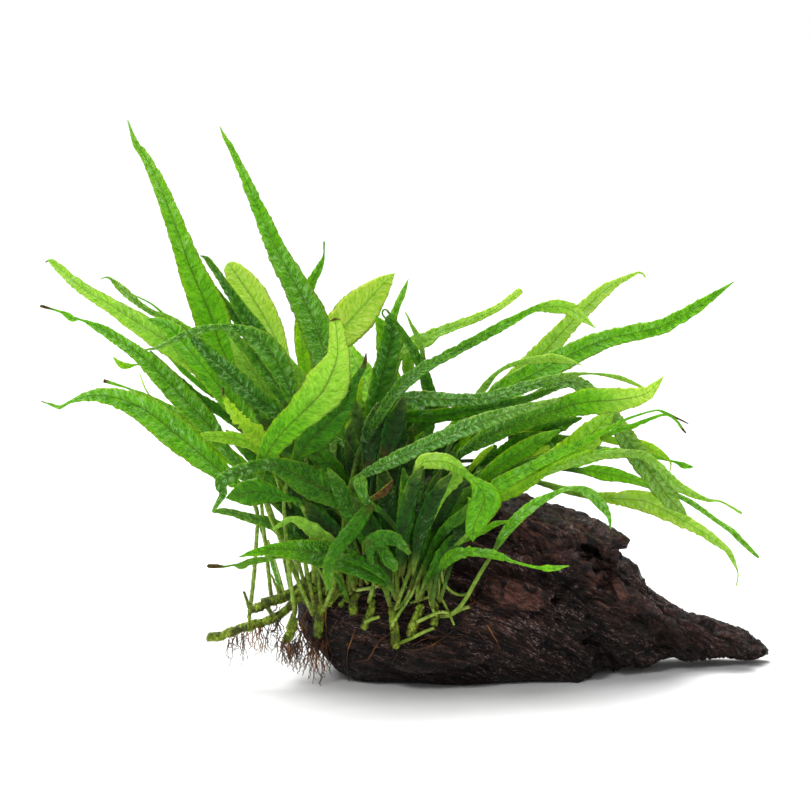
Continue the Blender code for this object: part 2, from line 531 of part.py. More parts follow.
        (625, 420, 1.5), (612, 427, 1.8), (600, 434, 2.5), (590, 439, 3), (575, 446, 4), (560, 453, 5),
        (545, 461, 5.5), (530, 468, 6), (515, 476, 6.5), (500, 485, 8), (480, 500, 5), (462, 520, 3),
        (446, 545, 2), (434, 570, 2), (430, 600, 2)]),
    ("frond_right_lime_droop", "lime", (14, 10, -6), (0, -15, 20), [
        (736, 586, .7), (738, 578, .8), (737, 569, 1), (733, 560, 2.5), (729, 552.5, 3), (723, 546, 3.5),
        (715, 540, 4.5), (705, 533, 5.5), (695, 527, 6), (683, 520.5, 7.5), (670, 513, 9), (658, 506.5, 10),
        (645, 501, 10.5), (630, 499, 10), (615, 498, 7), (600, 497, 4.5), (580, 494, 3.5), (565, 490, 4),
        (545, 484, 3), (520, 478, 2), (496, 474, 2)]),
    ("frond_over_wood", "mid", (-46, -52, -52), (0, 20, 30), [
        (610.5, 528, .7), (610, 522, 1.2), (608, 514, 3), (603, 507, 4.5), (597, 500, 5.5), (590, 494, 5),
        (582, 490, 4), (572, 488, 2.5), (563, 490, 2), (555, 493, 2.5), (545, 499, 4), (535, 504, 5),
        (525, 512, 5), (515, 521, 5.5), (507, 530, 5), (500, 541, 3.5), (495, 550, 2), (485, 565, 2),
        (472, 588, 2), (465, 600, 2), (458, 609, 2), (447, 616, 2), (440, 616, 2)]),
    ("frond_right_curled", "pale", (-48, -10, -6), (0, 30, -20), [
        (741, 513, 1.5), (737, 509, 3.5), (730, 505, 3), (722, 502, 1), (716, 500, 1.5), (708, 500, 1.5),
        (700, 497.5, 4.5), (693, 495, 5), (686, 491, 5), (678, 486, 5), (670, 479, 4.5),
        (662, 471.5, 4.5), (655, 464, 4.5), (648, 458, 4.5), (640, 455, 4.5), (620, 453, 4),
        (590, 458, 4), (550, 472, 3), (500, 498, 2), (460, 545, 2), (440, 601, 2)]),
    ("frond_right_low_slim", "deep", (13, 2, 0), (0, 10, 30), [
        (758, 557, 1.5), (752, 552, 2.5), (745, 545, 2.5), (739, 538, 3.5), (733, 532, 3), (725, 527, 3.5),
        (717, 521, 2.5), (708, 515, 2.5), (700, 509, 2.5), (692, 503, 3), (685, 499, 2.5), (677, 495, 2.5),
        (670, 491, 2), (650, 486, 3), (630, 478.5, 5), (605, 473, 7), (580, 471, 3), (540, 462, 2),
        (505, 453, 2), (474, 462, 2)]),
    ("frond_front_hanging", "pale", (-42, -48, -64), (0, 0, -20), [
        (473, 541, 1), (473, 531, 7.5), (477, 520, 11), (482, 508, 15), (485, 498, 16), (480, 488, 9.5),
        (473, 480, 4), (466, 474, 4), (458, 468, 5.5), (450, 463, 8), (440, 461, 8), (430, 461, 8),
        (423, 463, 7), (418, 467, 4.5), (413, 476, 1.6), (406, 492, 1.6), (400, 520, 1.8),
        (397, 560, 2), (398, 598, 2)]),
    ("frond_front_tongue", "bright", (-48, -58, -72), (0, 20, 20), [
        (568, 566, .5), (563, 567, 2), (556, 568, 3), (548, 568.5, 3), (540, 568, 1.8), (530, 566, 1),
        (518, 563, 1.2), (508, 560, 2), (500, 556, 4), (490, 554, 4.5), (475, 552, 4), (462, 553, 5.5),
        (450, 558, 6), (442, 566, 4), (437, 577, 2), (432, 607, 2)]),
    ("frond_low_left_bright", "mid", (-58, -58, -72), (0, 15, 10), [
        (239, 557, .5), (252, 553, 3), (268, 550, 5), (285, 549, 8), (303, 550.5, 11), (320, 553, 13),
        (337, 557, 13), (352, 563, 11), (368, 571, 8), (382, 580, 4), (390, 606, 2)]),
    ("frond_low_left_dry_tip", "deep", (-44, -46, -50), (0, 10, 30), [
        (208, 566, 2), (215, 565.5, 2.5), (222, 567, 1.5), (227, 566, 1), (233, 565, 1), (240, 566, 3.5),
        (245, 564, 4), (252, 561.5, 3), (262, 560, 3), (272, 558, 2.5), (282, 556.5, 2), (310, 560, 2),
        (335, 575, 2), (348, 601, 2)]),
    ("frond_left_ragged", "deep", (-48, -38, -44), (0, 10, 20), [
        (213, 512, 1), (220, 511, 3), (230, 512, 3.5), (240, 515, 4), (250, 518, 4.5), (260, 520, 5),
        (270, 523, 6), (278, 527, 7), (290, 533, 9), (303, 539, 10), (325, 548, 9), (345, 562, 5),
        (355, 590, 2)]),
    # Fronds that lean away behind the others, out of the photo's sight
    ("frond_back_left", "mid", (30, 52, 74), (0, 10, 20), [
        (268, 352, 1), (276, 361, 6), (288, 374, 11), (304, 389, 13), (324, 407, 12), (346, 426, 9),
        (368, 446, 5), (388, 470, 2), (398, 486, 2)]),
    ("frond_back_upright", "bright", (30, 46, 68), (0, -12, 0), [
        (346, 338, 1), (350, 350, 6), (356, 364, 12), (365, 382, 14), (377, 402, 12), (391, 424, 8),
        (400, 446, 4), (402, 474, 2)]),
    ("frond_back_middle", "deep", (34, 66, 92), (0, 15, 10), [
        (398, 392, 1), (402, 399, 6), (407, 409, 11), (413, 421, 13), (420, 434, 11), (427, 447, 7),
        (436, 460, 3), (440, 472, 2)]),
    ("frond_back_right", "mid", (30, 60, 88), (0, -10, -15), [
        (512, 428, 1), (504, 425, 5), (494, 424, 10), (482, 427, 13), (470, 434, 12), (459, 444, 8),
        (450, 455, 4), (444, 470, 2)]),
    ("frond_back_far_left", "deep", (30, 56, 78), (0, -10, 10), [
        (214, 404, 1), (226, 406, 6), (243, 411, 11), (264, 420, 13), (288, 431, 12), (312, 443, 9),
        (336, 456, 5), (362, 474, 2), (382, 494, 2)]),
]

STATIONS = 90                  # places along a frond where its depth is worked out
ACROSS = np.array([-1.0, -0.5, 0.0, 0.5, 1.0])
NEIGHBOUR_REACH = 3.0          # pixels: samples nearer than this on the photo must differ in depth
SETTLE_ROUNDS = 400
ROOT_HEIGHT = 5.6 * MM         # where a stipe starts over the wood: just off its rhizome's far side


def between(values, t):
    """Smooth run through a base, a middle and a tip value."""
    low, middle, high = values
    return (low * (1 - t) * (1 - 2 * t) + middle * 4 * t * (1 - t) + high * t * (2 * t - 1))


def resample(rows, weights, count):
    """Rows at equal steps of a running weight."""
    run = np.concatenate([[0.0], np.cumsum(weights)])
    steps = np.linspace(0.0, run[-1], count)
    return np.stack([np.interp(steps, run, rows[:, k]) for k in range(rows.shape[1])], axis=1)


def thickness(half):
    """Blade or stipe thickness in metres for a half width in pixels."""
    blade = np.clip((half - STIPE_HALF_WIDTH) / 2.5, 0.0, 1.0)
    full = STIPE_THICKNESS + (BLADE_THICKNESS - STIPE_THICKNESS) * blade
    return np.minimum(full, 2.0 * half * PIXEL)


def root_on_top(trace, depth, tubes, wood_surface):
    """Leads the end of a trace to the nearest place on the rhizomes that lie on the wood's top."""
    u, v, half = trace[-1]
    nearest = None
    for tube in tubes:
        if tube.name not in TOP_NAMES:
            continue
        for corner in tube.data.vertices:
            pu, pv = pixel_of(corner.co)
            away = math.hypot(pu - u, pv - v) + abs(corner.co.y / MM - depth)
            if nearest is None or away < nearest[0]:
                nearest = (away, corner.co)
    skin, outward = wood_surface.find_nearest(nearest[1])[:2]
    root = skin + outward * ROOT_HEIGHT
    pu, pv = pixel_of(root)
    return trace[:-1] + [(pu, pv, half)], root.y


def lay_out(frond, wood_surface, tubes):
    """A frond's stations: u, v, half width, depth in metres, and the tangent of its turn."""
    depths, turns, trace = frond[2:]
    if depths[0] > 5:
        trace, start = root_on_top(trace, depths[0], tubes, wood_surface)
        depths = (start / MM, *depths[1:])
    rows = curve_through(trace[::-1], 5)
    rows[:, 2] = np.maximum(rows[:, 2], 0.5)
    rows = resample(rows, np.hypot(*np.diff(rows[:, :2], axis=0).T), STATIONS)
    t = np.linspace(0.0, 1.0, STATIONS)
    depth = between(depths, t) * MM
    if depths[0] < -8:                     # rooted on the wood's front: starts just off its skin
        hit = wood_surface.ray_cast(EYE, sight_direction(rows[0, 0], rows[0, 1]).normalized())[0]
        if hit is not None:
            start = hit.y - 4.0 * MM
            depth += (start - depth[0]) * (1 - t) ** 2
    turn = np.radians(between(turns, t)) * np.clip((rows[:, 2] - STIPE_HALF_WIDTH) / 3.0, 0.0, 1.0)
    return np.column_stack([rows, depth, np.tan(np.clip(turn, -0.9, 0.9))])


def settle(layouts, wood_surface, tubes):
    """Parts crossing fronds in depth, along the sight lines, so that the view stays as traced."""
    data = np.stack(layouts)
    count = len(layouts)
    u, v, half, lean = data[:, :, 0], data[:, :, 1], data[:, :, 2], data[:, :, 4]
    depth = data[:, :, 3].copy()
    along = np.stack([np.gradient(u, axis=1), np.gradient(v, axis=1)], axis=2)
    step = np.linalg.norm(along, axis=2)
    along /= step[:, :, None]
    side = np.stack([-along[:, :, 1], along[:, :, 0]], axis=2)
    su = (u[:, :, None] + ACROSS * (half * side[:, :, 0])[:, :, None]).ravel()
    sv = (v[:, :, None] + ACROSS * (half * side[:, :, 1])[:, :, None]).ravel()
    offset = (-ACROSS * (half * PIXEL * lean)[:, :, None]).ravel()
    owner = np.repeat(np.arange(count), STATIONS * len(ACROSS))
    station = np.repeat(np.arange(count * STATIONS), len(ACROSS))
    thick = np.repeat(thickness(half).ravel(), len(ACROSS)) / 2

    tree = KDTree(len(su))
    for i in range(len(su)):
        tree.insert((su[i], sv[i], 0.0), i)
    tree.balance()
    first, second = [], []
    for i in range(len(su)):
        for _, j, _ in tree.find_range((su[i], sv[i], 0.0), NEIGHBOUR_REACH):
            if owner[i] < owner[j]:
                first.append(i)
                second.append(j)
    first, second = np.array(first), np.array(second)

    def sample_depth():
        return depth.ravel()[station] + offset

    start_depth = sample_depth()
    gap_now = start_depth[second] - start_depth[first]
    pair = owner[first] * count + owner[second]
    total = np.bincount(pair, weights=gap_now, minlength=count * count)
    order = np.where(total[pair] >= 0, 1.0, -1.0)

    front_limit = np.full(len(su), np.inf)
    back_limit = np.full(len(su), -np.inf)
    for i in range(len(su)):
        ray = sight_direction(su[i], sv[i]).normalized()
        hit = wood_surface.ray_cast(EYE, ray)[0]
        if hit is None:
            continue
        rear = wood_surface.ray_cast(EYE + ray * 2.5, -ray)[0]
        if start_depth[i] < (hit.y + rear.y) / 2:
            front_limit[i] = hit.y
        else:
            back_limit[i] = rear.y
    for tube in tubes:
        for corner in tube.data.vertices:
            pu, pv = pixel_of(corner.co)
            close = (np.hypot(su - pu, sv - pv) < 5.0) & (start_depth < corner.co.y + 8 * MM)
            front_limit[close] = np.minimum(front_limit[close], corner.co.y)

    for round_now in range(SETTLE_ROUNDS):
        now = sample_depth()
        slope = np.abs(np.gradient(depth, axis=1)) / (step * PIXEL)
        steep = np.sqrt(1 + np.minimum(slope, 2.5) ** 2 + lean ** 2).ravel()[station]
        need = thick[first] + thick[second] + CLEARANCE
        need = need * np.maximum(steep[first], steep[second]) + 0.25 * MM
        lack = need - order * (now[second] - now[first])
        bad = lack > 0
        push = np.zeros(count * STATIONS)
        pull = np.zeros(count * STATIONS)
        share = 0.35 * lack[bad]
        for who, sign in ((first[bad], -order[bad]), (second[bad], order[bad])):
            np.maximum.at(push, station[who], share * sign)
            np.minimum.at(pull, station[who], share * sign)
        move = (push + pull).reshape(count, STATIONS)
        for _ in range(10):
            move[:, 1:-1] = (move[:, :-2] + 2 * move[:, 1:-1] + move[:, 2:]) / 4
        depth += move
        smooth = (depth[:, :-2] + depth[:, 2:]) / 2 - depth[:, 1:-1]
        depth[:, 1:-1] += 0.12 * smooth
        now = sample_depth()
        room = (thick + CLEARANCE) * steep + 0.15 * MM
        over = np.maximum(now - (front_limit - room), 0.0)
        under = np.maximum((back_limit + room) - now, 0.0)
        shift = np.zeros(count * STATIONS)
        np.minimum.at(shift, station, -over)
        lift = np.zeros(count * STATIONS)
        np.maximum.at(lift, station, under)
        depth += (shift + lift).reshape(count, STATIONS)
        if round_now % 100 == 99:
            print(f"settle round {round_now + 1}: {int(bad.sum())} close samples of {len(bad)}, "
                  f"worst {lack.max() / MM:.2f} mm")
    data[:, :, 3] = depth
    return data


def frond_rings(layout):
    """Diamond sections along a frond: left edge, front rib, right edge, back rib, and then its apex."""
    path = [place(u, v, y) for u, v, _, y, _ in layout]
    cuts = np.array([(path[i + 1] - path[i]).length for i in range(len(path) - 1)])
    heads = [(path[i + 1] - path[i]).normalized() for i in range(len(path) - 1)]
    bends = np.array([0.0] + [heads[i].angle(heads[i - 1], 0.0) for i in range(1, len(heads))])
    weights = cuts / cuts.sum() + 0.9 * bends / max(bends.sum(), 1.5)
    rows = resample(np.column_stack([layout, [tuple(point) for point in path]]), weights, RINGS_PER_FROND)
    points = [Vector(row[5:8]) for row in rows]
    rings = []
    for i, row in enumerate(rows):
        tangent = (points[min(i + 1, len(points) - 1)] - points[max(i - 1, 0)]).normalized()
        toward_eye = EYE - points[i]
        toward_eye = (toward_eye - tangent * toward_eye.dot(tangent)).normalized()
        turn = math.atan(row[4])
        flat = tangent.cross(toward_eye)
        across = flat * math.cos(turn) + toward_eye * math.sin(turn)
        normal = across.cross(tangent).normalized()
        wide = row[2] * PIXEL / math.cos(turn)
        thick = float(thickness(row[2])) / 2
        rings.append([points[i] - across * wide, points[i] + normal * thick,
                      points[i] + across * wide, points[i] - normal * thick])
    reach = max(rows[-1][2] * PIXEL * 0.7, 0.4 * MM)
    return rings, points[-1] + (points[-1] - points[-2]).normalized() * reach


def build_frond(frond, layout, collection):
    name, tone = frond[:2]
    rings, apex = frond_rings(layout)
    form = bmesh.new()
    rows = [[form.verts.new(point) for point in ring] for ring in rings]
    tip = form.verts.new(apex)
    for low, high in zip(rows, rows[1:]):
        for i in range(4):
            form.faces.new((low[i], low[(i + 1) % 4], high[(i + 1) % 4], high[i]))
    for i in range(4):
        form.faces.new((rows[-1][i], rows[-1][(i + 1) % 4], tip))
    form.faces.new(list(reversed(rows[0])))
    bmesh.ops.triangulate(form, faces=form.faces)
    bmesh.ops.recalc_face_normals(form, faces=form.faces)
    mesh = bpy.data.meshes.new(name)
    form.to_mesh(mesh)
    form.free()
    return add_object(name, mesh, collection, make_material(name, tone, 0.4))


def main():
    clear_scene()
    pieces = new_collection("java_fern_on_driftwood")
    helpers = new_collection("cutters_and_forms")
    wood = build_wood(pieces, helpers)
    surface = BVHTree.FromPolygons([vertex.co for vertex in wood.data.vertices],
                                   [face.vertices for face in wood.data.polygons])
    tubes = build_rhizomes(pieces, helpers, surface)
    layouts = settle([lay_out(frond, surface, tubes) for frond in FRONDS], surface, tubes)
    for frond, layout in zip(FRONDS, layouts):
        build_frond(frond, layout, pieces)


main()
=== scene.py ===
import json
import math
import random

import bpy
import numpy as np
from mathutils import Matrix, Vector, noise
from mathutils.bvhtree import BVHTree


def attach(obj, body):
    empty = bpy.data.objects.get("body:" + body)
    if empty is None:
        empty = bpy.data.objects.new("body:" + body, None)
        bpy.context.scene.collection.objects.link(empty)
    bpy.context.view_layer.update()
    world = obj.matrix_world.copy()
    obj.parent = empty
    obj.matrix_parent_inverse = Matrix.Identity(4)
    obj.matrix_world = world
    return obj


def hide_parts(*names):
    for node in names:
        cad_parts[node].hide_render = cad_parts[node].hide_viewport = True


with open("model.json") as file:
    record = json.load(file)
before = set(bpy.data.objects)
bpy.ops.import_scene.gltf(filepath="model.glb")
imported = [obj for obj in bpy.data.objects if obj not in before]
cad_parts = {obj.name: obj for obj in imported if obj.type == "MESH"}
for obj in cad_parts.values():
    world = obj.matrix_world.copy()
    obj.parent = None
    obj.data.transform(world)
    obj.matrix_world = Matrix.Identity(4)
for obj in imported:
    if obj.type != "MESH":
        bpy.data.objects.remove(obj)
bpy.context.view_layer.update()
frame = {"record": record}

mm = 0.001
rng = random.Random(27)
noise.seed_set(27)  # else noise vectors start from the clock
nodeSlots = {part["node"]: part["material_slot"] for part in frame["record"]["subparts"]}

# how the photo was taken: the same numbers turn a traced pixel and a depth into a place
view = {
    "pixel": 0.42 * mm,          # one photo pixel at the plant's middle
    "middle": 405,               # the photo's middle pixel, both ways
    "distance": 1.10,
    "tilt": math.radians(8),
    "lookAt": Vector((-23.4 * mm, 0.0, 114.8 * mm)),
    "sensor": 36.0,
}
lookDir = Vector((0.0, math.cos(view["tilt"]), -math.sin(view["tilt"])))
lookUp = Vector((0.0, math.sin(view["tilt"]), math.cos(view["tilt"])))
eye = view["lookAt"] - lookDir * view["distance"]


def sightRay(u, v):
    across = (u - view["middle"]) * view["pixel"]
    rise = (view["middle"] - v) * view["pixel"]
    return lookDir * view["distance"] + Vector((across, 0.0, 0.0)) + lookUp * rise


def place(u, v, y):
    ray = sightRay(u, v)
    return eye + ray * ((y - eye.y) / ray.y)


def pixelsOf(points):
    # where the photo shows these points
    off = points - np.array(eye)
    deep = off @ np.array(lookDir)
    u = view["middle"] + off[:, 0] / deep * view["distance"] / view["pixel"]
    v = view["middle"] - (off @ np.array(lookUp)) / deep * view["distance"] / view["pixel"]
    return u, v


def deselectAll():
    if bpy.context.mode != "OBJECT":
        bpy.ops.object.mode_set(mode="OBJECT")
    bpy.ops.object.select_all(action="DESELECT")


def activate(item):
    deselectAll()
    item.select_set(True)
    bpy.context.view_layer.objects.active = item


def applyAll(item):
    activate(item)
    for step in list(item.modifiers):
        bpy.ops.object.modifier_apply(modifier=step.name)


def addObject(name, data):
    item = bpy.data.objects.new(name, data)
    bpy.context.scene.collection.objects.link(item)
    return item


def fineCopy(nodeName, pieceName, voxel, softening):
    # a solid's copy with a fine skin and softened facets
    item = addObject(pieceName, bpy.data.objects[nodeName].data.copy())
    activate(item)
    bpy.ops.object.mode_set(mode="EDIT")
    bpy.ops.mesh.select_all(action="SELECT")
    bpy.ops.mesh.remove_doubles(threshold=0.01 * mm)
    bpy.ops.object.mode_set(mode="OBJECT")
    remesh = item.modifiers.new("fineSkin", "REMESH")
    remesh.mode, remesh.voxel_size = "VOXEL", voxel * mm
    soften = item.modifiers.new("softenFacets", "SMOOTH")
    soften.factor, soften.iterations = 0.5, softening
    applyAll(item)
    return item


def finishPiece(item, material, slotName, *nodes):
    item.data.materials.clear()
    item.data.materials.append(material)
    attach(item, "root")
    if nodes:
        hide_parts(*nodes)
    return item


def getPoints(mesh):
    flat = np.zeros(len(mesh.vertices) * 3)
    mesh.vertices.foreach_get("co", flat)
    return flat.reshape(-1, 3)


def getNormals(mesh):
    flat = np.zeros(len(mesh.vertices) * 3)
    mesh.vertices.foreach_get("normal", flat)
    return flat.reshape(-1, 3)


def setPoints(mesh, points):
    mesh.vertices.foreach_set("co", np.asarray(points, np.float32).ravel())
    mesh.update()


def setValues(mesh, key, values):
    # one number at each point, which a material reads by this name
    layer = mesh.attributes.new(key, "FLOAT", "POINT")
    layer.data.foreach_set("value", values.astype(np.float32).ravel())


def smoothRows(rows, steps):
    # smooth curve through rows of numbers
    rows = np.asarray(rows, float)
    out = []
    for i in range(len(rows) - 1):
        before, a = rows[max(i - 1, 0)], rows[i]
        b, after = rows[i + 1], rows[min(i + 2, len(rows) - 1)]
        for t in np.arange(steps) / steps:
            out.append(0.5 * (2 * a + (b - before) * t + (2 * before - 5 * a + 4 * b - after) * t ** 2
                              + (3 * a - before - 3 * b + after) * t ** 3))
    out.append(rows[-1])
    return np.array(out)


def spread(rows, weights, count):
    # this many rows, evenly along their run
    run = np.concatenate([[0.0], np.cumsum(weights)])
    at = np.linspace(0.0, run[-1], count)
    return np.stack([np.interp(at, run, rows[:, k]) for k in range(rows.shape[1])], axis=1)


# node helpers for the materials
class Shade:
    def __init__(self, name):
        self.material = bpy.data.materials.new(name)
        self.material.use_nodes = True
        self.tree = self.material.node_tree
        self.shader = self.tree.nodes["Principled BSDF"]

    def feed(self, socket, value):
        if isinstance(value, bpy.types.NodeSocket):
            self.tree.links.new(value, socket)
        else:
            socket.default_value = value

    def node(self, kind, values=None, **settings):
        item = self.tree.nodes.new(kind)
        for key, value in settings.items():
            setattr(item, key, value)
        for key, value in (values or {}).items():
            self.feed(item.inputs[key], value)
        return item

    def set(self, **values):
        for key, value in values.items():
            self.feed(self.shader.inputs[key.replace("_", " ")], value)

    def attribute(self, name):
        return self.node("ShaderNodeAttribute", attribute_name=name).outputs["Fac"]

    def stretch(self, vector, scale):
        return self.node("ShaderNodeMapping", {"Vector": vector, "Scale": scale}).outputs["Vector"]

    def spot(self, scale=(1, 1, 1), uv=False):
        return self.stretch(self.node("ShaderNodeTexCoord").outputs["UV" if uv else "Object"], scale)

    def split(self, vector):
        return self.node("ShaderNodeSeparateXYZ", {"Vector": vector}).outputs

    def join(self, x, y, z):
        return self.node("ShaderNodeCombineXYZ", {"X": x, "Y": y, "Z": z}).outputs["Vector"]

    def noise(self, vector, scale, detail=4.0, rough=0.55, warp=0.0):
        return self.node("ShaderNodeTexNoise", {"Vector": vector, "Scale": scale, "Detail": detail,
                                                "Roughness": rough, "Distortion": warp}).outputs["Fac"]

    def cells(self, vector, scale, feature="F1"):
        values = {"Vector": vector, "Scale": scale}
        return self.node("ShaderNodeTexVoronoi", values, feature=feature).outputs["Distance"]

    def ramp(self, value, *stops):
        item = self.node("ShaderNodeValToRGB", {"Fac": value})
        marks = item.color_ramp.elements
        while len(marks) < len(stops):
            marks.new(0.5)
        for mark, (at, colour) in zip(marks, stops):
            mark.position = at
            mark.color = (*colour, 1.0)
        return item.outputs["Color"]

    def level(self, value, low, high, outLow=0.0, outHigh=1.0):
        return self.node("ShaderNodeMapRange", {"Value": value, "From Min": low, "From Max": high,
                                                "To Min": outLow, "To Max": outHigh}).outputs["Result"]

    def math(self, operation, a, b=0.0, c=0.0):
        return self.node("ShaderNodeMath", {0: a, 1: b, 2: c}, operation=operation).outputs["Value"]

    def times(self, a, b):
        return self.math("MULTIPLY", a, b)

    def timesPlus(self, a, b, c):
        return self.math("MULTIPLY_ADD", a, b, c)

    def mix(self, amount, a, b, blend="MIX"):
        item = self.node("ShaderNodeMix", data_type="RGBA", blend_type=blend)
        for socket, value in ((item.inputs[0], amount), (item.inputs[6], a), (item.inputs[7], b)):
            self.feed(socket, (*value, 1.0) if isinstance(value, tuple) else value)
        return item.outputs[2]

    def bump(self, height, strength, distance, under=None):
        values = {"Height": height, "Strength": strength, "Distance": distance}
        if under is not None:
            values["Normal"] = under
        return self.node("ShaderNodeBump", values).outputs["Normal"]


def srgb(r, g, b):
    # colours are given as screen values and kept as linear ones
    return tuple(c / 12.92 if c <= 0.04045 else ((c + 0.055) / 1.055) ** 2.4 for c in (r, g, b))


def scaled(colour, factor):
    return tuple(c * factor for c in colour)


studio = {
    "white": (1.0, 1.0, 1.0, 1.0),
    "skyGlow": 0.34,
    "sun": 3.3,
    "sunSpread": math.radians(60),
    "sunAim": Vector((0.25, -0.30, -1.0)),
    # where each softbox hangs, its width and height, and its power
    "softboxes": {
        "overheadSoftbox": (Vector((-0.15, 0.45, 1.1)), 0.5, 0.4, 6.0),
        "frontSoftbox": (Vector((-0.5, -0.9, 1.0)), 0.3, 0.3, 5.5),
    },
    "softboxAim": Vector((0, 0, 0.1)),
    "floorRadius": 7.0,
    "floorGrey": (0.92, 0.92, 0.92, 1.0),
}


def aim(item, direction):
    item.rotation_euler = direction.to_track_quat("-Z", "Y").to_euler()


def setCamera():
    data = bpy.data.cameras.new("studioCamera")
    data.sensor_width = view["sensor"]
    data.lens = view["sensor"] * view["distance"] / (2 * view["middle"] * view["pixel"])
    data.clip_start, data.clip_end = 0.05, 40.0
    camera = addObject("studioCamera", data)
    camera.location = eye
    aim(camera, lookDir)
    bpy.context.scene.camera = camera


def setSky():
    world = bpy.data.worlds.new("studioWorld")
    bpy.context.scene.world = world
    world.use_nodes = True
    sky = world.node_tree
    seen = sky.nodes["Background"]  # what is seen behind the plant
    glow = sky.nodes.new("ShaderNodeBackground")  # what lights it
    for background, strength in ((seen, 1.0), (glow, studio["skyGlow"])):
        background.inputs["Color"].default_value = studio["white"]
        background.inputs["Strength"].default_value = strength
    path = sky.nodes.new("ShaderNodeLightPath")
    both = sky.nodes.new("ShaderNodeMixShader")
    sky.links.new(path.outputs["Is Camera Ray"], both.inputs[0])
    sky.links.new(glow.outputs[0], both.inputs[1])
    sky.links.new(seen.outputs[0], both.inputs[2])
    sky.links.new(both.outputs[0], sky.nodes["World Output"].inputs["Surface"])
    bpy.context.scene.view_settings.view_transform = "Standard"


def setLights():
    data = bpy.data.lights.new("highSoftSun", "SUN")
    data.energy, data.angle = studio["sun"], studio["sunSpread"]
    aim(addObject("highSoftSun", data), studio["sunAim"])
    for name, (where, width, height, power) in studio["softboxes"].items():
        data = bpy.data.lights.new(name, "AREA")
        data.shape, data.size, data.size_y, data.energy = "RECTANGLE", width, height, power
        lamp = addObject(name, data)
        lamp.location = where
        aim(lamp, studio["softboxAim"] - where)


def setFloor():
    deselectAll()
    bpy.ops.mesh.primitive_circle_add(vertices=64, radius=studio["floorRadius"], fill_type="NGON",
                                      location=(0, 0, 0))
    floor = bpy.context.object
    floor.name = "studioFloor"
    s = Shade("studio floor")
    s.set(Base_Color=studio["floorGrey"], Roughness=0.85, Specular_IOR_Level=0.1)
    floor.data.materials.append(s.material)


wood = {
    "voxel": 0.8,             # mm
    "softening": 9,
    "lumps": 1.2,             # mm, as are the furrows and the grain
    "furrows": 1.6,
    "grain": 0.75,
    # raised (+) and carved (-) strokes, mm, radius in pixels, along traced pixels of the front
    "strokes": (
        (3.8, 8, ((528, 545), (556, 550), (582, 560), (604, 575), (630, 592), (655, 607), (684, 622))),
        (2.4, 8, ((600, 575), (614, 596), (628, 614), (645, 632))),
        (-4.0, 7, ((566, 537), (590, 545), (608, 552), (624, 562), (640, 580))),
        (-5.5, 13, ((556, 570), (572, 580), (584, 600), (592, 622), (600, 646))),
        (-4.0, 8, ((592, 640), (600, 655), (604, 668))),
        (2.5, 11, ((492, 590), (512, 592), (532, 600))),
        (-3.5, 5, ((476, 588), (486, 600), (503, 611), (524, 615), (546, 611), (560, 600))),
        (-2.5, 4, ((486, 573), (505, 571), (530, 576), (552, 583))),
        (-7.0, 11, ((456, 564), (464, 580), (470, 594))),
        (2.2, 5, ((460, 578), (463, 586), (467, 592))),
        (-3.5, 3, ((557, 603), (561, 623))),
        (-2.0, 3, ((545, 560), (556, 580), (562, 598))),
        (1.4, 4, ((668, 606), (690, 613), (718, 620), (743, 631))),
        (-2.4, 4, ((661, 619), (678, 627), (694, 634), (714, 642))),
        (-2.0, 3, ((722, 634), (734, 640), (748, 643))),
        (-6.0, 7, ((596, 652), (604, 658), (616, 662))),
        (-5.0, 6, ((657, 636), (663, 645), (666, 654))),
        (-2.5, 2, ((714, 627), (715, 636))),
        (-2.0, 1.5, ((737, 633), (738, 637))),
        (1.6, 5, ((586, 655), (594, 666), (600, 672))),
        (-1.5, 3, ((640, 645), (662, 650), (690, 652))),
        (-1.6, 3, ((480, 620), (520, 632), (560, 650), (585, 668))),
        (-1.4, 3, ((400, 660), (450, 668), (500, 668), (550, 676))),
        (-1.3, 2.5, ((350, 640), (390, 655), (440, 660), (480, 656))),
        (-1.8, 3, ((520, 640), (548, 652), (575, 664))),
        (-1.6, 2.5, ((530, 516), (560, 526), (590, 534))),
        (-1.4, 2.5, ((505, 512), (530, 528), (556, 538))),
    ),
    # pixels of the photo's outline right of the foot: underside, then the tail's upper edge
    "under": ((570, 580, 584, 586, 591, 594, 597, 600, 606, 610, 614, 620, 625, 632, 637, 641, 650, 656, 661,
               670, 674, 680, 687, 700, 712, 725, 740, 750, 757, 765, 769),
              (690, 686, 680, 677, 678, 674, 672, 668, 667, 669, 672, 670, 667, 666, 668, 669, 667, 663, 660,
               658, 657, 660, 662, 661, 660, 658, 660, 661, 659, 655, 650)),
    "over": ((636, 640, 654, 669, 686, 708, 726, 743, 754, 763, 769),
             (560, 575, 591, 601, 611, 616, 623, 628, 636, 642, 650)),
    "outlineFrom": 540,       # pixels
    "outlineStep": 2.5,
    "outlineDepth": 26,       # how far in from the edge the wood follows it
    # where the wood shows red-brown, partly its own colour and partly painted light on its top and ridges:
    # pixel, radius and how much
    "red": (
        (508, 592, 30, 0.95), (535, 600, 20, 0.8), (463, 580, 12, 0.8), (540, 522, 36, 0.6),
        (585, 530, 32, 0.75), (560, 550, 16, 0.75), (600, 566, 20, 0.85), (630, 588, 20, 0.75),
        (655, 603, 18, 0.6), (690, 622, 22, 0.5), (725, 633, 22, 0.5), (548, 645, 34, 0.2),
    ),
    # painted highlights gather most at this place
    "wettest": (548, 628, 34, 26),   # pixel and radii of the place with the most glints
    # painted shade darkens the left end from here
    "blackLeft": -44,                # mm, where the left end starts to turn black
    # the back's upper faces turn red-brown, partly the wood's colour and partly painted light
    "redRidge": 30,                  # mm, how high the back's red-brown ridge starts
    # how steeply the grain falls to the right, at these mm from the left end to the tail
    "grainFall": ((-70, 0, 30, 100, 134), (0.10, 0.30, 0.60, 0.65, 0.45)),
}


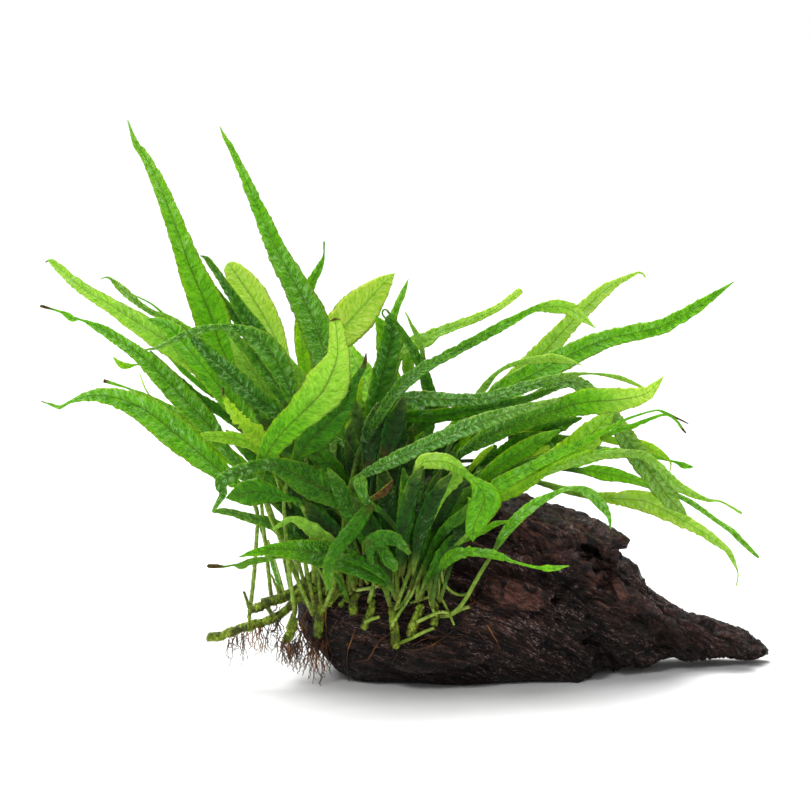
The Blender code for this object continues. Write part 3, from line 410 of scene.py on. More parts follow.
def makeWoodMaterial():
    s = Shade("driftwood")
    # centimetres along and across the grain
    parts = s.split(s.spot((100, 100, 100)))
    slow = s.join(s.times(parts["X"], 0.16), s.attribute("grainAcross"), s.times(parts["Y"], 0.7))
    streaks = s.noise(slow, 2.6, 7.0, 0.65, 0.4)
    fineStreaks = s.noise(slow, 7.0, 5.0, 0.65, 0.3)
    patches = s.noise(s.spot(), 32.0, 5.0, 0.6, 0.8)
    knobbly = s.noise(slow, 3.6, 6.0, 0.6, 0.8)
    grit = s.noise(s.spot(), 900.0, 4.0, 0.65)
    dark = s.ramp(streaks, (0.25, srgb(0.05, 0.033, 0.028)), (0.50, srgb(0.17, 0.11, 0.09)),
                  (0.72, srgb(0.37, 0.25, 0.21)))
    # red-brown, partly the wood's colour and partly painted light on its top and ridges
    red = s.ramp(streaks, (0.25, srgb(0.20, 0.10, 0.08)), (0.55, srgb(0.42, 0.24, 0.19)),
                 (0.8, srgb(0.56, 0.37, 0.30)))
    redness = s.times(s.attribute("redness"), s.level(patches, 0.30, 0.60, 0.45, 1.0))
    colour = s.mix(redness, dark, red)
    colour = s.mix(s.level(patches, 0.58, 0.70, 0.0, 0.5), colour, srgb(0.08, 0.06, 0.05))
    # painted shade keeps the furrows near black
    deep = s.level(s.timesPlus(fineStreaks, 0.8, s.times(knobbly, 0.6)), 0.60, 0.74, 0.85, 0.0)
    colour = s.mix(deep, colour, (0.004, 0.003, 0.0025))
    # painted shade in the recesses, furrows and pits
    colour = s.mix(s.times(s.attribute("hollow"), 0.92), colour, (0.005, 0.004, 0.004))
    lines = s.times(s.level(fineStreaks, 0.56, 0.66), s.level(patches, 0.35, 0.6, 0.15, 0.5))
    colour = s.mix(lines, colour, srgb(0.46, 0.34, 0.28))
    # painted shade: the wood grows darker towards the ground
    lowShade = s.level(parts["Z"], 0.5, 3.2, 0.45, 0.0)  # darker towards the ground
    colour = s.mix(lowShade, colour, (0.004, 0.003, 0.0025))
    # painted highlights: small glints on the wet grain's crests, more in some places than in others
    thin = s.noise(s.stretch(slow, (2.2, 1.0, 1.0)), 17.0, 3.0, 0.6, 0.4)
    specks = s.level(s.timesPlus(s.attribute("wet"), 0.06, thin), 0.54, 0.64)
    crests = s.level(s.timesPlus(fineStreaks, 0.6, s.times(knobbly, 0.6)), 0.58, 0.68)
    wet = s.timesPlus(s.attribute("wet"), 0.25, s.noise(s.spot(), 42.0, 3.0))
    glints = s.times(s.times(crests, specks), s.level(wet, 0.44, 0.60, 0.25, 1.0))
    colour = s.mix(glints, colour, srgb(0.60, 0.53, 0.52))
    dull = s.level(s.attribute("hollow"), 0.4, 0.8, 0.0, 0.7)
    rough = s.math("MAXIMUM", s.level(grit, 0.3, 0.7, 0.12, 0.30), dull)
    s.set(Base_Color=colour, Roughness=rough, Specular_IOR_Level=0.22)
    low = s.bump(knobbly, 1.0, 3.4 * mm)
    mid = s.bump(fineStreaks, 1.0, 2.0 * mm, low)
    s.set(Normal=s.bump(grit, 0.8, 0.35 * mm, mid))
    return s.material


def strokeDistance(u, v, path):
    best = 1e9
    for (au, av), (bu, bv) in zip(path, path[1:]):
        du, dv = bu - au, bv - av
        t = np.clip(((u - au) * du + (v - av) * dv) / (du * du + dv * dv), 0, 1)
        best = np.minimum(best, np.hypot(u - au - t * du, v - av - t * dv))
    return best


def carveStrokes(points, normals):
    # how far each point is pushed out, how much painted shade darkens it, how red-brown and lit it is, and
    # how many painted glints it gets
    u, v = pixelsOf(points)
    facing = np.clip(-normals[:, 1] * 1.3 + 0.35, 0, 1)
    broken = np.array([0.75 + 0.9 * noise.noise(Vector(p) * 210.0) for p in points])
    push = np.zeros(len(points))
    hollow = np.zeros(len(points))
    for depth, radius, path in wood["strokes"]:
        near = np.exp(-(strokeDistance(u, v, path) / radius) ** 2) * broken
        push += depth * near * facing
        if depth < 0:
            # painted shade in the carved strokes
            hollow = np.maximum(hollow, near * facing * min(-depth / 4.0, 1.0))
    # painted shade makes the left end nearly black
    hollow = np.maximum(hollow, np.clip((wood["blackLeft"] - points[:, 0] / mm) / 8, 0, 0.8))
    # red-brown, partly the wood's own colour and partly painted light on its top, ridges and the back's upper
    # faces
    redness = np.zeros(len(points))
    for ru, rv, rr, much in wood["red"]:
        redness = np.maximum(redness, much * np.exp(-(((u - ru) ** 2 + (v - rv) ** 2) / (rr * 1.1) ** 2)))
    back = np.clip(normals[:, 1], 0, 1) * np.clip((points[:, 2] / mm - wood["redRidge"]) / 30, 0, 0.7)
    redness = np.maximum(redness * facing, back)
    # where the painted glints gather most
    wu, wv, wide, high = wood["wettest"]
    wet = np.exp(-((u - wu) ** 2 / wide ** 2 + (v - wv) ** 2 / high ** 2)) * facing
    return push, hollow, redness, wet


def carveGrain(points, push, hollow):
    # lumps, furrows, grain and pits all over, calmer low at the left
    reach = np.arange(-90, 145)
    fall = np.cumsum(np.interp(reach, *wood["grainFall"]))
    across = points[:, 2] / mm + np.interp(points[:, 0] / mm, reach, fall)
    for i, point in enumerate(points):
        p = Vector(point) / mm
        c = across[i] + noise.noise(p * 0.045) * 7.0
        lump = noise.noise(p * 0.075) * 0.7 + noise.noise(p * 0.16 + Vector((9, 2, 4))) * 0.5
        furrow = 0.55 - abs(noise.noise(Vector((p.x * 0.022, c * 0.13, p.y * 0.10)))) * 2.2
        grain = 0.4 - abs(noise.noise(Vector((p.x * 0.07, c * 0.36, p.y * 0.28)))) * 1.7
        pit = noise.noise(p * 0.33 + Vector((5, 5, 5)))
        crumbs = 0.8 * noise.noise(p * 0.62) + 0.4 * noise.noise(p * 1.1)
        calm = 0.50 + 0.50 * min(1.0, max(0.0, (p.x + 10) / 40 + (p.z - 30) / 40))
        holes = 0.55 * max(pit, 0.0) - 1.8 * max(-pit - 0.15, 0.0)
        push[i] += calm * (wood["lumps"] * lump + wood["furrows"] * furrow + holes)
        push[i] += wood["grain"] * (0.5 + 0.5 * calm) * (1.3 * grain + crumbs)
        # painted shade in the furrows and pits
        inFurrow = min(1.0, max(0.0, -furrow * 1.3 - 0.35) * calm)
        hollow[i] = max(hollow[i], inFurrow, min(1.0, max(0.0, -pit - 0.1) * 3))
    return across


def fitOutline(points):
    # right of the foot the upper and lower edge follow the photo's outline
    for key, way in (("under", 1), ("over", -1)):
        u, v = pixelsOf(points)
        column = np.clip((u - wood["outlineFrom"]) / wood["outlineStep"], 0, 99).astype(int)
        reached = np.full(100, -999.0)
        np.maximum.at(reached, column, v * way)
        reached[reached < -998] = reached[reached > -998].min()
        reached = np.convolve(np.pad(reached, 1, "edge"), np.ones(3) / 3, "valid")[column]
        short = reached - np.interp(u, *wood[key]) * way
        weight = np.clip(1 - (reached - v * way) / wood["outlineDepth"], 0, 1)
        weight *= np.clip((u - wood[key][0][0]) / 8, 0, 1)
        points[:, 2] += np.clip(short, -9, 20) * weight * view["pixel"] * way


def makeDriftwood():
    item = fineCopy("driftwood", "driftwoodLump", wood["voxel"], wood["softening"])
    mesh = item.data
    points, normals = getPoints(mesh), getNormals(mesh)
    push, hollow, redness, wet = carveStrokes(points, normals)
    across = carveGrain(points, push, hollow)
    low = np.clip(points[:, 2] / (4.0 * mm), 0, 1)  # the flat foot stays flat
    points = points + normals * (push * low * mm)[:, None]
    fitOutline(points)
    points[:, 2] = np.maximum(points[:, 2], 0.0)
    setPoints(mesh, points)
    setValues(mesh, "redness", redness)
    setValues(mesh, "hollow", hollow)
    setValues(mesh, "grainAcross", across * 0.1)
    setValues(mesh, "wet", wet)
    activate(item)
    bpy.ops.object.shade_smooth()
    finishPiece(item, makeWoodMaterial(), "driftwood", "driftwood")
    print("driftwood", len(mesh.vertices))
    return item


# each tone of the fronds: its dark and its light, the share of painted silvery glints, and the rib
ribBrown = srgb(0.30, 0.19, 0.05)
frondTones = {
    "shade": (srgb(0.03, 0.14, 0.00), srgb(0.13, 0.33, 0.02), 0.16, ribBrown),
    "deep": (srgb(0.07, 0.29, 0.00), srgb(0.28, 0.56, 0.03), 0.22, ribBrown),
    "mid": (srgb(0.24, 0.55, 0.00), srgb(0.50, 0.80, 0.06), 0.16, ribBrown),
    "bright": (srgb(0.36, 0.66, 0.00), srgb(0.65, 0.89, 0.10), 0.08, srgb(0.40, 0.42, 0.08)),
    "lime": (srgb(0.60, 0.87, 0.06), srgb(0.82, 1.00, 0.27), 0.05, srgb(0.46, 0.66, 0.08)),
    "pale": (srgb(0.42, 0.67, 0.10), srgb(0.65, 0.87, 0.30), 0.12, srgb(0.52, 0.54, 0.20)),
    # silver: dark green under many painted glints
    "silver": (srgb(0.10, 0.34, 0.01), srgb(0.36, 0.62, 0.08), 0.62, ribBrown),
}
smoothTones = ("pale", "lime")
frondMaterials = {}


def stipeColour(s, along):
    # pale green with brown flecks low down and at the left; higher up between the fronds painted shade makes
    # them dark green
    grain = s.noise(along, 0.5, 3.0)
    stem = s.ramp(grain, (0.3, srgb(0.38, 0.53, 0.11)), (0.7, srgb(0.67, 0.79, 0.34)))
    # painted shade for the stipes among the fronds
    inside = s.ramp(grain, (0.3, srgb(0.08, 0.20, 0.05)), (0.7, srgb(0.20, 0.38, 0.10)))
    spot = s.split(s.spot())
    high = s.level(s.timesPlus(s.attribute("vary"), 0.035, spot["Z"]), 0.055, 0.085)
    stem = s.mix(s.times(high, s.level(spot["X"], -0.050, -0.040)), stem, inside)
    flecks = s.level(s.noise(s.spot((1.0, 2.0, 1.0), uv=True), 1.3, 2.0), 0.60, 0.66)
    return s.mix(s.times(flecks, 0.7), stem, srgb(0.24, 0.17, 0.07))


def makeFrondMaterial(tone):
    dark, light, glint, ribColour = frondTones[tone]
    netShare = 0.18 if tone in smoothTones else 0.34
    s = Shade("fern frond " + tone)
    along = s.spot(uv=True)
    edge = s.math("ABSOLUTE", s.attribute("across"))
    vary = s.attribute("vary")
    parts = s.split(along)
    # side veins leave the midrib aslant on both halves
    slant = s.timesPlus(s.math("ABSOLUTE", parts["Y"]), -0.75, parts["X"])
    aslant = s.join(slant, parts["Y"], s.times(vary, 50.0))
    stretched = s.stretch(aslant, (1.0, 0.52, 1.0))
    mottle = s.noise(aslant, 0.16, 6.0, 0.62, 0.5)
    wrinkle = s.noise(stretched, 0.95, 4.0, 0.62, 0.35)
    fine = s.noise(stretched, 2.1, 3.0, 0.6, 0.6)
    ripple = s.attribute("ripple")  # +1 on the swells between the side veins, -1 in the furrows
    # the swells a little lighter and the furrows a little darker, painted light and shade
    mixed = s.timesPlus(wrinkle, 0.50, s.timesPlus(mottle, 0.3, s.times(ripple, 0.04)))
    body = s.ramp(mixed, (0.27, scaled(dark, 0.85)), (0.56, light))
    # each frond sits a little apart from the next in tone
    tint = s.node("ShaderNodeCombineColor", {"Red": s.level(vary, 0.0, 1.0, 0.84, 1.12),
                                             "Green": s.level(vary, 0.0, 1.0, 0.89, 1.10),
                                             "Blue": s.level(vary, 0.0, 1.0, 1.1, 0.9)}).outputs["Color"]
    body = s.mix(1.0, body, tint, "MULTIPLY")
    # a frond may run to lime at one end and to dark at the other
    lift = s.timesPlus(s.math("SUBTRACT", mottle, 0.5), 0.35, s.attribute("lift"))
    limeEnd = s.ramp(wrinkle, (0.36, srgb(0.62, 0.87, 0.16)), (0.64, srgb(0.86, 1.00, 0.45)))
    body = s.mix(s.level(lift, 0.05, 1.0), body, limeEnd)
    body = s.mix(s.level(lift, -0.05, -1.0), body, scaled(frondTones["deep"][0], 0.7))
    # darker furrows, partly the side veins' own green and partly painted shade, and the light net of the
    # finest veins
    furrows = s.level(s.timesPlus(fine, 1.6, ripple), 0.35, -0.35, 0.0, netShare * 0.9)
    body = s.mix(furrows, body, scaled(dark, 0.42))
    net = s.cells(s.stretch(aslant, (1.0, 0.7, 1.0)), 0.62, "DISTANCE_TO_EDGE")
    netColour = tuple(min(1.0, c * 1.3 + 0.02) for c in light)
    body = s.mix(s.level(net, 0.0, 0.08, netShare, 0.0), body, netColour)
    # painted highlights: silvery glints where the wet swells look up, most of them along the rib
    gleam = s.math("ADD", s.attribute("gleam"), glint)
    crest = s.level(s.timesPlus(fine, 3.2, ripple), 2.0, 2.6)
    shine = s.times(crest, s.level(edge, 0.95, 0.35, 0.25, 0.9))
    streak = s.times(s.level(fine, 0.53, 0.60), s.level(wrinkle, 0.42, 0.60))
    shine = s.math("MAXIMUM", shine, s.times(streak, 0.9))
    where = s.level(s.timesPlus(gleam, 0.36, s.noise(aslant, 0.13, 3.0)), 0.62, 0.84, 0.0, 0.85)
    body = s.mix(s.times(shine, where), body, srgb(0.64, 0.80, 0.56))
    # the midrib, brown in places
    rib = s.level(edge, 0.0, 0.09, 1.0, 0.0)
    dots = s.level(s.noise(s.spot((0.9, 0.2, 1.0), uv=True), 1.0, 2.0), 0.38, 0.54)
    body = s.mix(s.times(rib, 0.65), body, s.mix(dots, scaled(dark, 0.6), ribColour))
    body = s.mix(s.attribute("stipe"), body, stipeColour(s, along))
    # dead brown ends, and a few dark spots
    dead = s.ramp(s.noise(along, 0.7, 4.0), (0.3, srgb(0.10, 0.07, 0.03)), (0.7, srgb(0.42, 0.30, 0.10)))
    body = s.mix(s.attribute("brown"), body, dead)
    spots = s.level(s.cells(along, 0.085), 0.0, 0.050, 1.0, 0.0)
    some = s.level(s.noise(along, 0.035, 1.0), 0.52, 0.58)
    body = s.mix(s.times(spots, some), body, srgb(0.10, 0.09, 0.03))
    s.set(Base_Color=body, Roughness=s.level(fine, 0.3, 0.7, 0.40, 0.24), Specular_IOR_Level=0.15)
    s.set(Subsurface_Weight=0.30, Subsurface_Scale=0.0022, Subsurface_Radius=(0.7, 1.0, 0.08))
    low = s.bump(fine, 0.8, 0.5 * mm)
    mid = s.bump(wrinkle, 0.9, 1.1 * mm, low)
    s.set(Normal=s.bump(s.level(net, 0.0, 0.16), 0.5, 0.25 * mm, mid))
    return s.material


def frondMaterial(tone):
    if tone not in frondMaterials:
        frondMaterials[tone] = makeFrondMaterial(tone)
    return frondMaterials[tone]


def readSections(node):
    # a frond's solid is a chain of four-cornered sections from its foot to a pointed apex
    fewestSections = 9
    points = getPoints(node.data)
    keys, back = np.unique(np.round(points / (0.01 * mm)).astype(int), axis=0, return_inverse=True)
    back = back.ravel()
    merged = np.zeros((len(keys), 3))
    for i, j in enumerate(back):
        merged[j] = points[i]
    links = [set() for _ in keys]
    for face in node.data.polygons:
        corners = [back[i] for i in face.vertices]
        for a in corners:
            links[a].update(c for c in corners if c != a)
    for apex in range(len(keys)):
        if len(links[apex]) != 4:
            continue
        seen, level, levels = {apex}, [apex], []
        while level:
            level = sorted({j for i in level for j in links[i]} - seen)
            seen.update(level)
            if level:
                levels.append(level)
        if len(levels) >= fewestSections and all(len(level) == 4 for level in levels):
            break
    else:
        raise ValueError("no chain of sections in " + node.name)
    rings = []
    for level in reversed(levels):
        # the corner farthest on the other side lies across from the first one
        corners = merged[level]
        middle = corners.mean(0)
        far = max(range(1, 4), key=lambda k: -np.dot(corners[k] - middle, corners[0] - middle))
        others = [k for k in range(1, 4) if k != far]
        rings.append((middle, ((corners[0], corners[far]), (corners[others[0]], corners[others[1]]))))
    return rings, merged[apex]


def readSpine(node):
    # middle line, half widths and sides of a frond, foot to tip
    rings, apex = readSections(node)
    widths = [[np.linalg.norm(b - a) for a, b in pairs] for _, pairs in rings]
    start = max(range(len(rings)), key=lambda i: max(widths[i]))
    pick = [None] * len(rings)
    a, b = rings[start][1][int(widths[start][1] > widths[start][0])]
    pick[start] = b - a
    for order in (range(start + 1, len(rings)), range(start - 1, -1, -1)):
        before = pick[start]
        for i in order:
            best = None
            for p, q in rings[i][1]:
                for side in (q - p, p - q):
                    match = np.dot(side, before) / np.linalg.norm(side) / np.linalg.norm(before)
                    if best is None or match > best[0]:
                        best = (match, side)
            before = pick[i] = best[1]
    middles = np.array([middle for middle, _ in rings] + [apex])
    halves = np.array([np.linalg.norm(side) / 2 for side in pick] + [blade["tip"] * mm])
    sides = np.array([side / np.linalg.norm(side) for side in pick])
    sides = np.vstack([sides, sides[-1]])
    # the upper side is the one that the photo mostly shows
    tangents = np.gradient(middles, axis=0)
    uppers = np.cross(sides, tangents)
    toEye = np.array(eye) - middles
    if (uppers * toEye).sum(1) @ halves < 0:
        sides = -sides
    return middles, halves, sides


# mm, for every blade
blade = {
    "leaf": 0.34,            # thickness between rib and edge
    "edge": 0.10,
    "rib": 0.75,
    "ribHalf": 0.55,
    "stipe": 1.75,
    "stipeHalf": 0.85,       # up to this half width it is all stipe, and 1 mm wider all leaf
    "leafHalf": 1.8,
    "tip": 0.12,
    "thinnest": 0.10,
    "brownFoot": 6.0,        # how far up the foot is brown
    "rows": (24, 270),       # fewest and most rows of points along it
    # how often each kind of unevenness comes
    "wave": 0.075,
    "small": 0.30,
    "nick": 0.55,
    "crinkle": 1.15,
}


def bladeThickness(across, half, isStipe):
    # thin leaf with a raised rib, round stipe
    leaf = blade["leaf"] * mm * np.sqrt(np.maximum(1 - across ** 2, 0.0)) + blade["edge"] * mm
    ribShape = np.exp(-(across * half / (blade["ribHalf"] * mm)) ** 2)
    rib = blade["rib"] * mm * ribShape * np.clip(half / (3.5 * mm), 0.25, 1.0)
    stem = blade["stipe"] * mm * np.sqrt(np.maximum(1 - across ** 2, 0.0))
    return (leaf + rib) * (1 - isStipe) + np.minimum(stem, 2.0 * half) * isStipe


def bladeRows(middles, halves, sides, alongStep):
    # even rows along the blade: middle, half width, side, upper direction and how far along
    rows = smoothRows(np.column_stack([middles, halves, sides]), 6)
    lengths = np.linalg.norm(np.diff(rows[:, :3], axis=0), axis=1)
    total = lengths.sum()
    count = int(np.clip(total / (alongStep * mm), *blade["rows"]))
    rows = spread(rows, lengths, count)
    middle, half, side = rows[:, :3], np.maximum(rows[:, 3], blade["thinnest"] * mm), rows[:, 4:7]
    tangent = np.gradient(middle, axis=0)
    tangent /= np.linalg.norm(tangent, axis=1)[:, None]
    side -= tangent * (side * tangent).sum(1)[:, None]
    side /= np.linalg.norm(side, axis=1)[:, None]
    return middle, half, side, np.cross(side, tangent), np.linspace(0.0, total, count)


def shapeBlade(middles, halves, sides, look, seed):
    # points round each row of the blade, their UV places and the values that its material reads
    middle, half, side, upper, run = bladeRows(middles, halves, sides, look["alongStep"])
    count, total = len(run), run[-1]
    cuts = look["acrossCuts"]
    across = np.concatenate([np.linspace(-1, 1, cuts + 1), np.linspace(1, -1, cuts + 1)[1:-1]])
    upperFace = np.concatenate([np.ones(cuts + 1), -np.ones(cuts - 1)])
    upperFace[0] = upperFace[cuts] = 0.0
    around = len(across)
    wide = np.clip(half / mm, 0.0, 7.0)
    isStipe = np.clip(1.0 - (half - blade["stipeHalf"] * mm) / (1.0 * mm), 0.0, 1.0)
    lastWide = max(np.nonzero(half > blade["leafHalf"] * mm)[0], default=0)
    isStipe[np.arange(count) > lastWide * 0.55] = 0.0
    points = np.zeros((count, around + 1, 3))
    uv = np.zeros((count, around + 1, 2))
    values = np.zeros((count, around + 1, 6))
    fold, ruffle, quilt, nicks = look["fold"], look["ruffle"], look["quilt"] * mm, look["nicks"] * mm
    first = min(int(np.argmax(isStipe < 0.5)), count - 4)
    share = np.clip((np.arange(count) - first) / (count - 1.0 - first), 0.0, 1.0)
    lift = np.interp(share, (0.0, 0.5, 1.0), look["lift"])
    gleam = np.interp(share, (0.0, 0.5, 1.0), look["gleam"])
    for i in range(count):
        here = run[i] / mm
        leafShare = 1.0 - isStipe[i]
        # painted highlights: more glints where a stretch lies flat
        lit = max(0.0, abs(upper[i][2]) - 0.45) * 0.4  # flat lying stretches mirror the light above
        for k in range(around + 1):
            t = across[k % around]
            whichEdge = (t > 0) * 5.0  # each edge is uneven in its own way
            wave = noise.noise(Vector((here * blade["wave"], t * 0.8, seed * 7.3)))
            small = noise.noise(Vector((here * blade["small"], t * 1.5, seed * 3.1 + 9)))
            nick = noise.noise(Vector((here * blade["nick"], whichEdge, seed * 1.7 + 4)))
            crinkle = noise.noise(Vector((here * blade["crinkle"], whichEdge, seed * 2.9)))
            ragged = nicks * (nick + 0.5 * small + 0.7 * crinkle) * min(half[i] / (2.5 * mm), 1.0)
            width = half[i] + leafShare * t * t * ragged
            # leaf swells between the side veins, which leave the rib aslant
            slant = here / look["veinGap"] - abs(t) * wide[i] * 0.16
            ripple = math.sin(slant * 2 * math.pi + 4.0 * small + 4.0 * wave)
            swell = ripple * abs(t) * (1.15 - abs(t))
            net = noise.noise(Vector((here * 0.55, t * wide[i] * 0.55, seed + 20)))
            rise = leafShare * (quilt * (0.6 * swell + 0.55 * net) * min(wide[i] / 4.0, 1.0)
                                + fold * abs(t) ** 1.4 * half[i]
                                + ruffle * t * t * half[i] * (wave + 0.45 * small) * (0.6 + 0.5 * (t > 0))
                                + 0.35 * mm * abs(t) ** 3 * crinkle)
            depth = bladeThickness(np.array(t), half[i], isStipe[i]) / 2 * upperFace[k % around]
            points[i, k] = middle[i] + side[i] * (t * width) + upper[i] * (rise + float(depth))
            uv[i, k] = (here, t * half[i] / mm)
            furrow = leafShare * min(1.0, abs(t) * 4) * ripple
            values[i, k] = (t, isStipe[i], 0.0, furrow, gleam[i] + lit, lift[i])
    brownFrom = total / mm - look["brown"] * total / mm
    ends = np.clip((run / mm - brownFrom) / (0.35 * look["brown"] * total / mm + 0.01), 0.0, 1.0)
    foot = np.clip(1.0 - run / (blade["brownFoot"] * mm), 0.0, 1.0) * 0.6
    values[:, :, 2] = np.maximum(ends if look["brown"] > 0 else 0.0, foot)[:, None]
    return points, uv, values


def makeBlade(name, spine, look, seed):
    points, uv, values = shapeBlade(*spine, look, seed)
    count, columns = points.shape[:2]
    bpy.ops.mesh.primitive_grid_add(x_subdivisions=columns - 1, y_subdivisions=count - 1, size=1.0)
    item = bpy.context.object
    item.name = name
    mesh = item.data
    setPoints(mesh, points.reshape(-1, 3))
    layer = mesh.uv_layers.active or mesh.uv_layers.new(name="frondMap")
    corner = np.zeros(len(mesh.loops), int)
    mesh.loops.foreach_get("vertex_index", corner)
    layer.data.foreach_set("uv", uv.reshape(-1, 2)[corner].astype(np.float32).ravel())
    for k, key in enumerate(("across", "stipe", "brown", "ripple", "gleam", "lift")):
        setValues(mesh, key, values[:, :, k])
    setValues(mesh, "vary", np.full(len(mesh.vertices), (seed * 0.377) % 1.0))
    # the grid's long sides meet, and its ends are closed
    activate(item)
    bpy.ops.object.mode_set(mode="EDIT")
    bpy.ops.mesh.select_all(action="SELECT")
    bpy.ops.mesh.remove_doubles(threshold=0.004 * mm)
    bpy.ops.mesh.select_all(action="DESELECT")
    bpy.ops.mesh.select_non_manifold(extend=False)
    bpy.ops.mesh.edge_face_add()
    bpy.ops.mesh.select_all(action="SELECT")
    bpy.ops.mesh.normals_make_consistent(inside=False)
    bpy.ops.object.mode_set(mode="OBJECT")
    bpy.ops.object.shade_smooth()
    return item


frondLook = {
    "alongStep": 0.75,           # mm between the rows of points
    "acrossCuts": 12,
    "fold": 0.10,                # how far the halves fold up, as a share of the half width
    "ruffle": 0.22,              # how far the edges wave, likewise
    "quilt": 0.45,               # mm, swells between the side veins
    "veinGap": 3.6,              # mm
    "nicks": 0.48,               # mm, ragged edges
    "brown": 0.0,                # the share of its length that is dead and brown
    "tone": None,                # another tone than the slot's
    "lift": (-0.1, 0.0, 0.15),   # towards lime (+) or dark (-) at the blade's base, middle and tip
    # painted highlights: gleam adds more of the silvery glints
    "gleam": (0.0, 0.0, 0.0),    # more of the silvery glints at the same places
}
frondSpecials = {
    "tall_left": {"ruffle": 0.10, "fold": 0.16, "lift": (-0.1, 0.05, 0.25), "gleam": (0.0, 0.1, 0.8)},
    "tall_right": {"fold": 0.14, "quilt": 0.70, "lift": (-0.75, -0.35, 0.30), "gleam": (1.0, 0.8, 0.1)},
    "left_high": {"tone": "pale", "brown": 0.008, "lift": (-0.3, 0.1, 0.4), "gleam": (0.0, 0.2, 0.6)},
    "left_broad": {"lift": (-0.3, -0.1, 0.0), "gleam": (0.1, 0.3, 0.8)},
    "left_wavy": {"brown": 0.04, "ruffle": 0.35, "lift": (-0.5, -0.35, 0.1), "gleam": (0.4, 0.7, 0.5)},
    "left_slender": {"lift": (0.0, 0.1, 0.4)},
    "left_arching": {"quilt": 0.5, "brown": 0.015, "lift": (-0.35, -0.2, 0.3), "gleam": (0.0, 0.7, 2.2)},
    "left_silver_arch": {"lift": (0.0, -0.1, 0.2), "gleam": (0.0, 0.3, 0.6)},
    "left_brown_tip": {"brown": 0.025, "lift": (-0.35, -0.1, 0.3), "gleam": (0.5, 0.8, 0.4)},
    "left_hooked": {"lift": (0.0, 0.3, 0.8)},
    "left_folded": {"lift": (-0.5, -0.5, 0.2), "gleam": (-0.9, -0.5, 1.8), "fold": 0.16},
    "left_leaflet": {"tone": "deep", "lift": (-0.1, 0.0, 0.1), "gleam": (-0.4, -0.4, -0.4)},
    "left_jagged": {"nicks": 2.0, "brown": 0.05, "lift": (-0.9, -0.35, -0.1)},
    "back_lime": {"tone": "pale", "lift": (0.2, 0.9, 1.2), "ruffle": 0.12, "gleam": (0.4, 0.3, 0.1)},
    "back_slim": {"gleam": (0.3, 0.6, 0.4)},
    "lime_veined": {"ruffle": 0.12, "lift": (0.9, 1.1, 1.2), "gleam": (-0.5, -0.5, -0.5)},
    "front_pale": {"tone": "mid", "ruffle": 0.1, "fold": 0.22, "quilt": 0.25, "brown": 0.012,
                   "lift": (-0.6, 0.25, 0.9), "gleam": (-0.4, -0.4, -0.4)},
    "front_dark": {"brown": 0.06, "lift": (0.15, 0.0, -0.1), "gleam": (-0.3, -0.2, 0.4)},
    "left_streaked": {"lift": (-0.2, -0.1, 0.0), "gleam": (0.1, 0.6, 0.7)},
    "upright_slim": {"lift": (-0.4, 0.0, 0.3), "gleam": (0.0, 0.4, 0.3)},
    "upright_broad": {"lift": (-0.2, 0.0, 0.0), "gleam": (0.0, 0.3, 0.5)},
    "right_bow": {"lift": (-1.0, -0.5, 0.8), "gleam": (0.2, 0.0, 0.3)},
    "right_blunt": {"lift": (-0.4, 0.0, 0.9), "gleam": (0.9, 0.5, -0.2)},
    "right_pale_arc": {"lift": (-0.3, 0.05, 0.6), "gleam": (0.5, 0.6, 0.0)},
    "right_rising": {"lift": (0.1, 0.5, 0.9), "gleam": (0.5, 0.9, 0.8)},
    "right_long": {"ruffle": 0.24, "lift": (-0.3, -0.2, 0.1), "gleam": (0.5, 0.4, 0.1)},
    "right_level": {"lift": (-0.2, 0.0, 0.8), "gleam": (0.3, 0.3, -0.6)},
    "right_drooping": {"lift": (0.0, 0.2, 0.4), "gleam": (0.6, 1.6, 1.9)},
    "right_broad": {"tone": "mid", "lift": (-0.95, -0.6, 1.6), "gleam": (0.3, 0.1, -0.3)},
    "right_slanting": {"quilt": 0.35, "veinGap": 2.6, "lift": (-0.3, 0.0, 0.3), "gleam": (0.3, 0.4, 0.3)},
    "right_fold_over": {"tone": "bright", "lift": (-0.5, 0.0, 0.3), "gleam": (0.0, 0.0, 0.9)},
    "right_ribbed": {"brown": 0.06, "lift": (0.1, -0.1, -0.1)},
    "right_lime_droop": {"tone": "pale", "lift": (0.4, 0.8, 0.4), "gleam": (0.3, 0.5, 0.6)},
    "over_wood": {"lift": (0.0, 0.1, 0.1), "gleam": (0.7, 1.0, 1.0)},
    "right_curled": {"lift": (0.0, 0.0, 0.3), "gleam": (0.5, 1.1, 0.3)},
    "right_low_slim": {"tone": "mid", "lift": (0.1, 0.2, 0.2), "gleam": (0.4, 1.0, 0.5)},
    "front_hanging": {"tone": "mid", "lift": (0.8, 0.1, -0.2), "ruffle": 0.12, "quilt": 0.2,
                      "gleam": (0.2, 0.1, 0.0)},
    "front_tongue": {"tone": "mid", "nicks": 0.9, "lift": (-0.6, -0.2, 0.25), "gleam": (0.1, 0.3, 0.0)},
    "low_left_bright": {"lift": (-1.0, -0.85, 0.1), "gleam": (-0.2, 0.0, 0.0)},
    "low_left_dry_tip": {"brown": 0.12, "lift": (0.1, 0.2, 0.2)},
    "left_ragged": {"lift": (-0.3, 0.1, 0.2), "gleam": (0.1, 0.3, 0.3)},
}


def makeFronds():
    for number, (name, slotName) in enumerate(sorted(nodeSlots.items())):
        if not name.startswith("frond_"):
            continue
        shortName = name.replace("frond_", "")
        look = dict(frondLook, **frondSpecials.get(shortName, {}))
        item = makeBlade("leaf_" + shortName, readSpine(bpy.data.objects[name]), look, number + 1)
        finishPiece(item, frondMaterial(look["tone"] or slotName.split("_")[1]), slotName, name)
    print("fronds made")


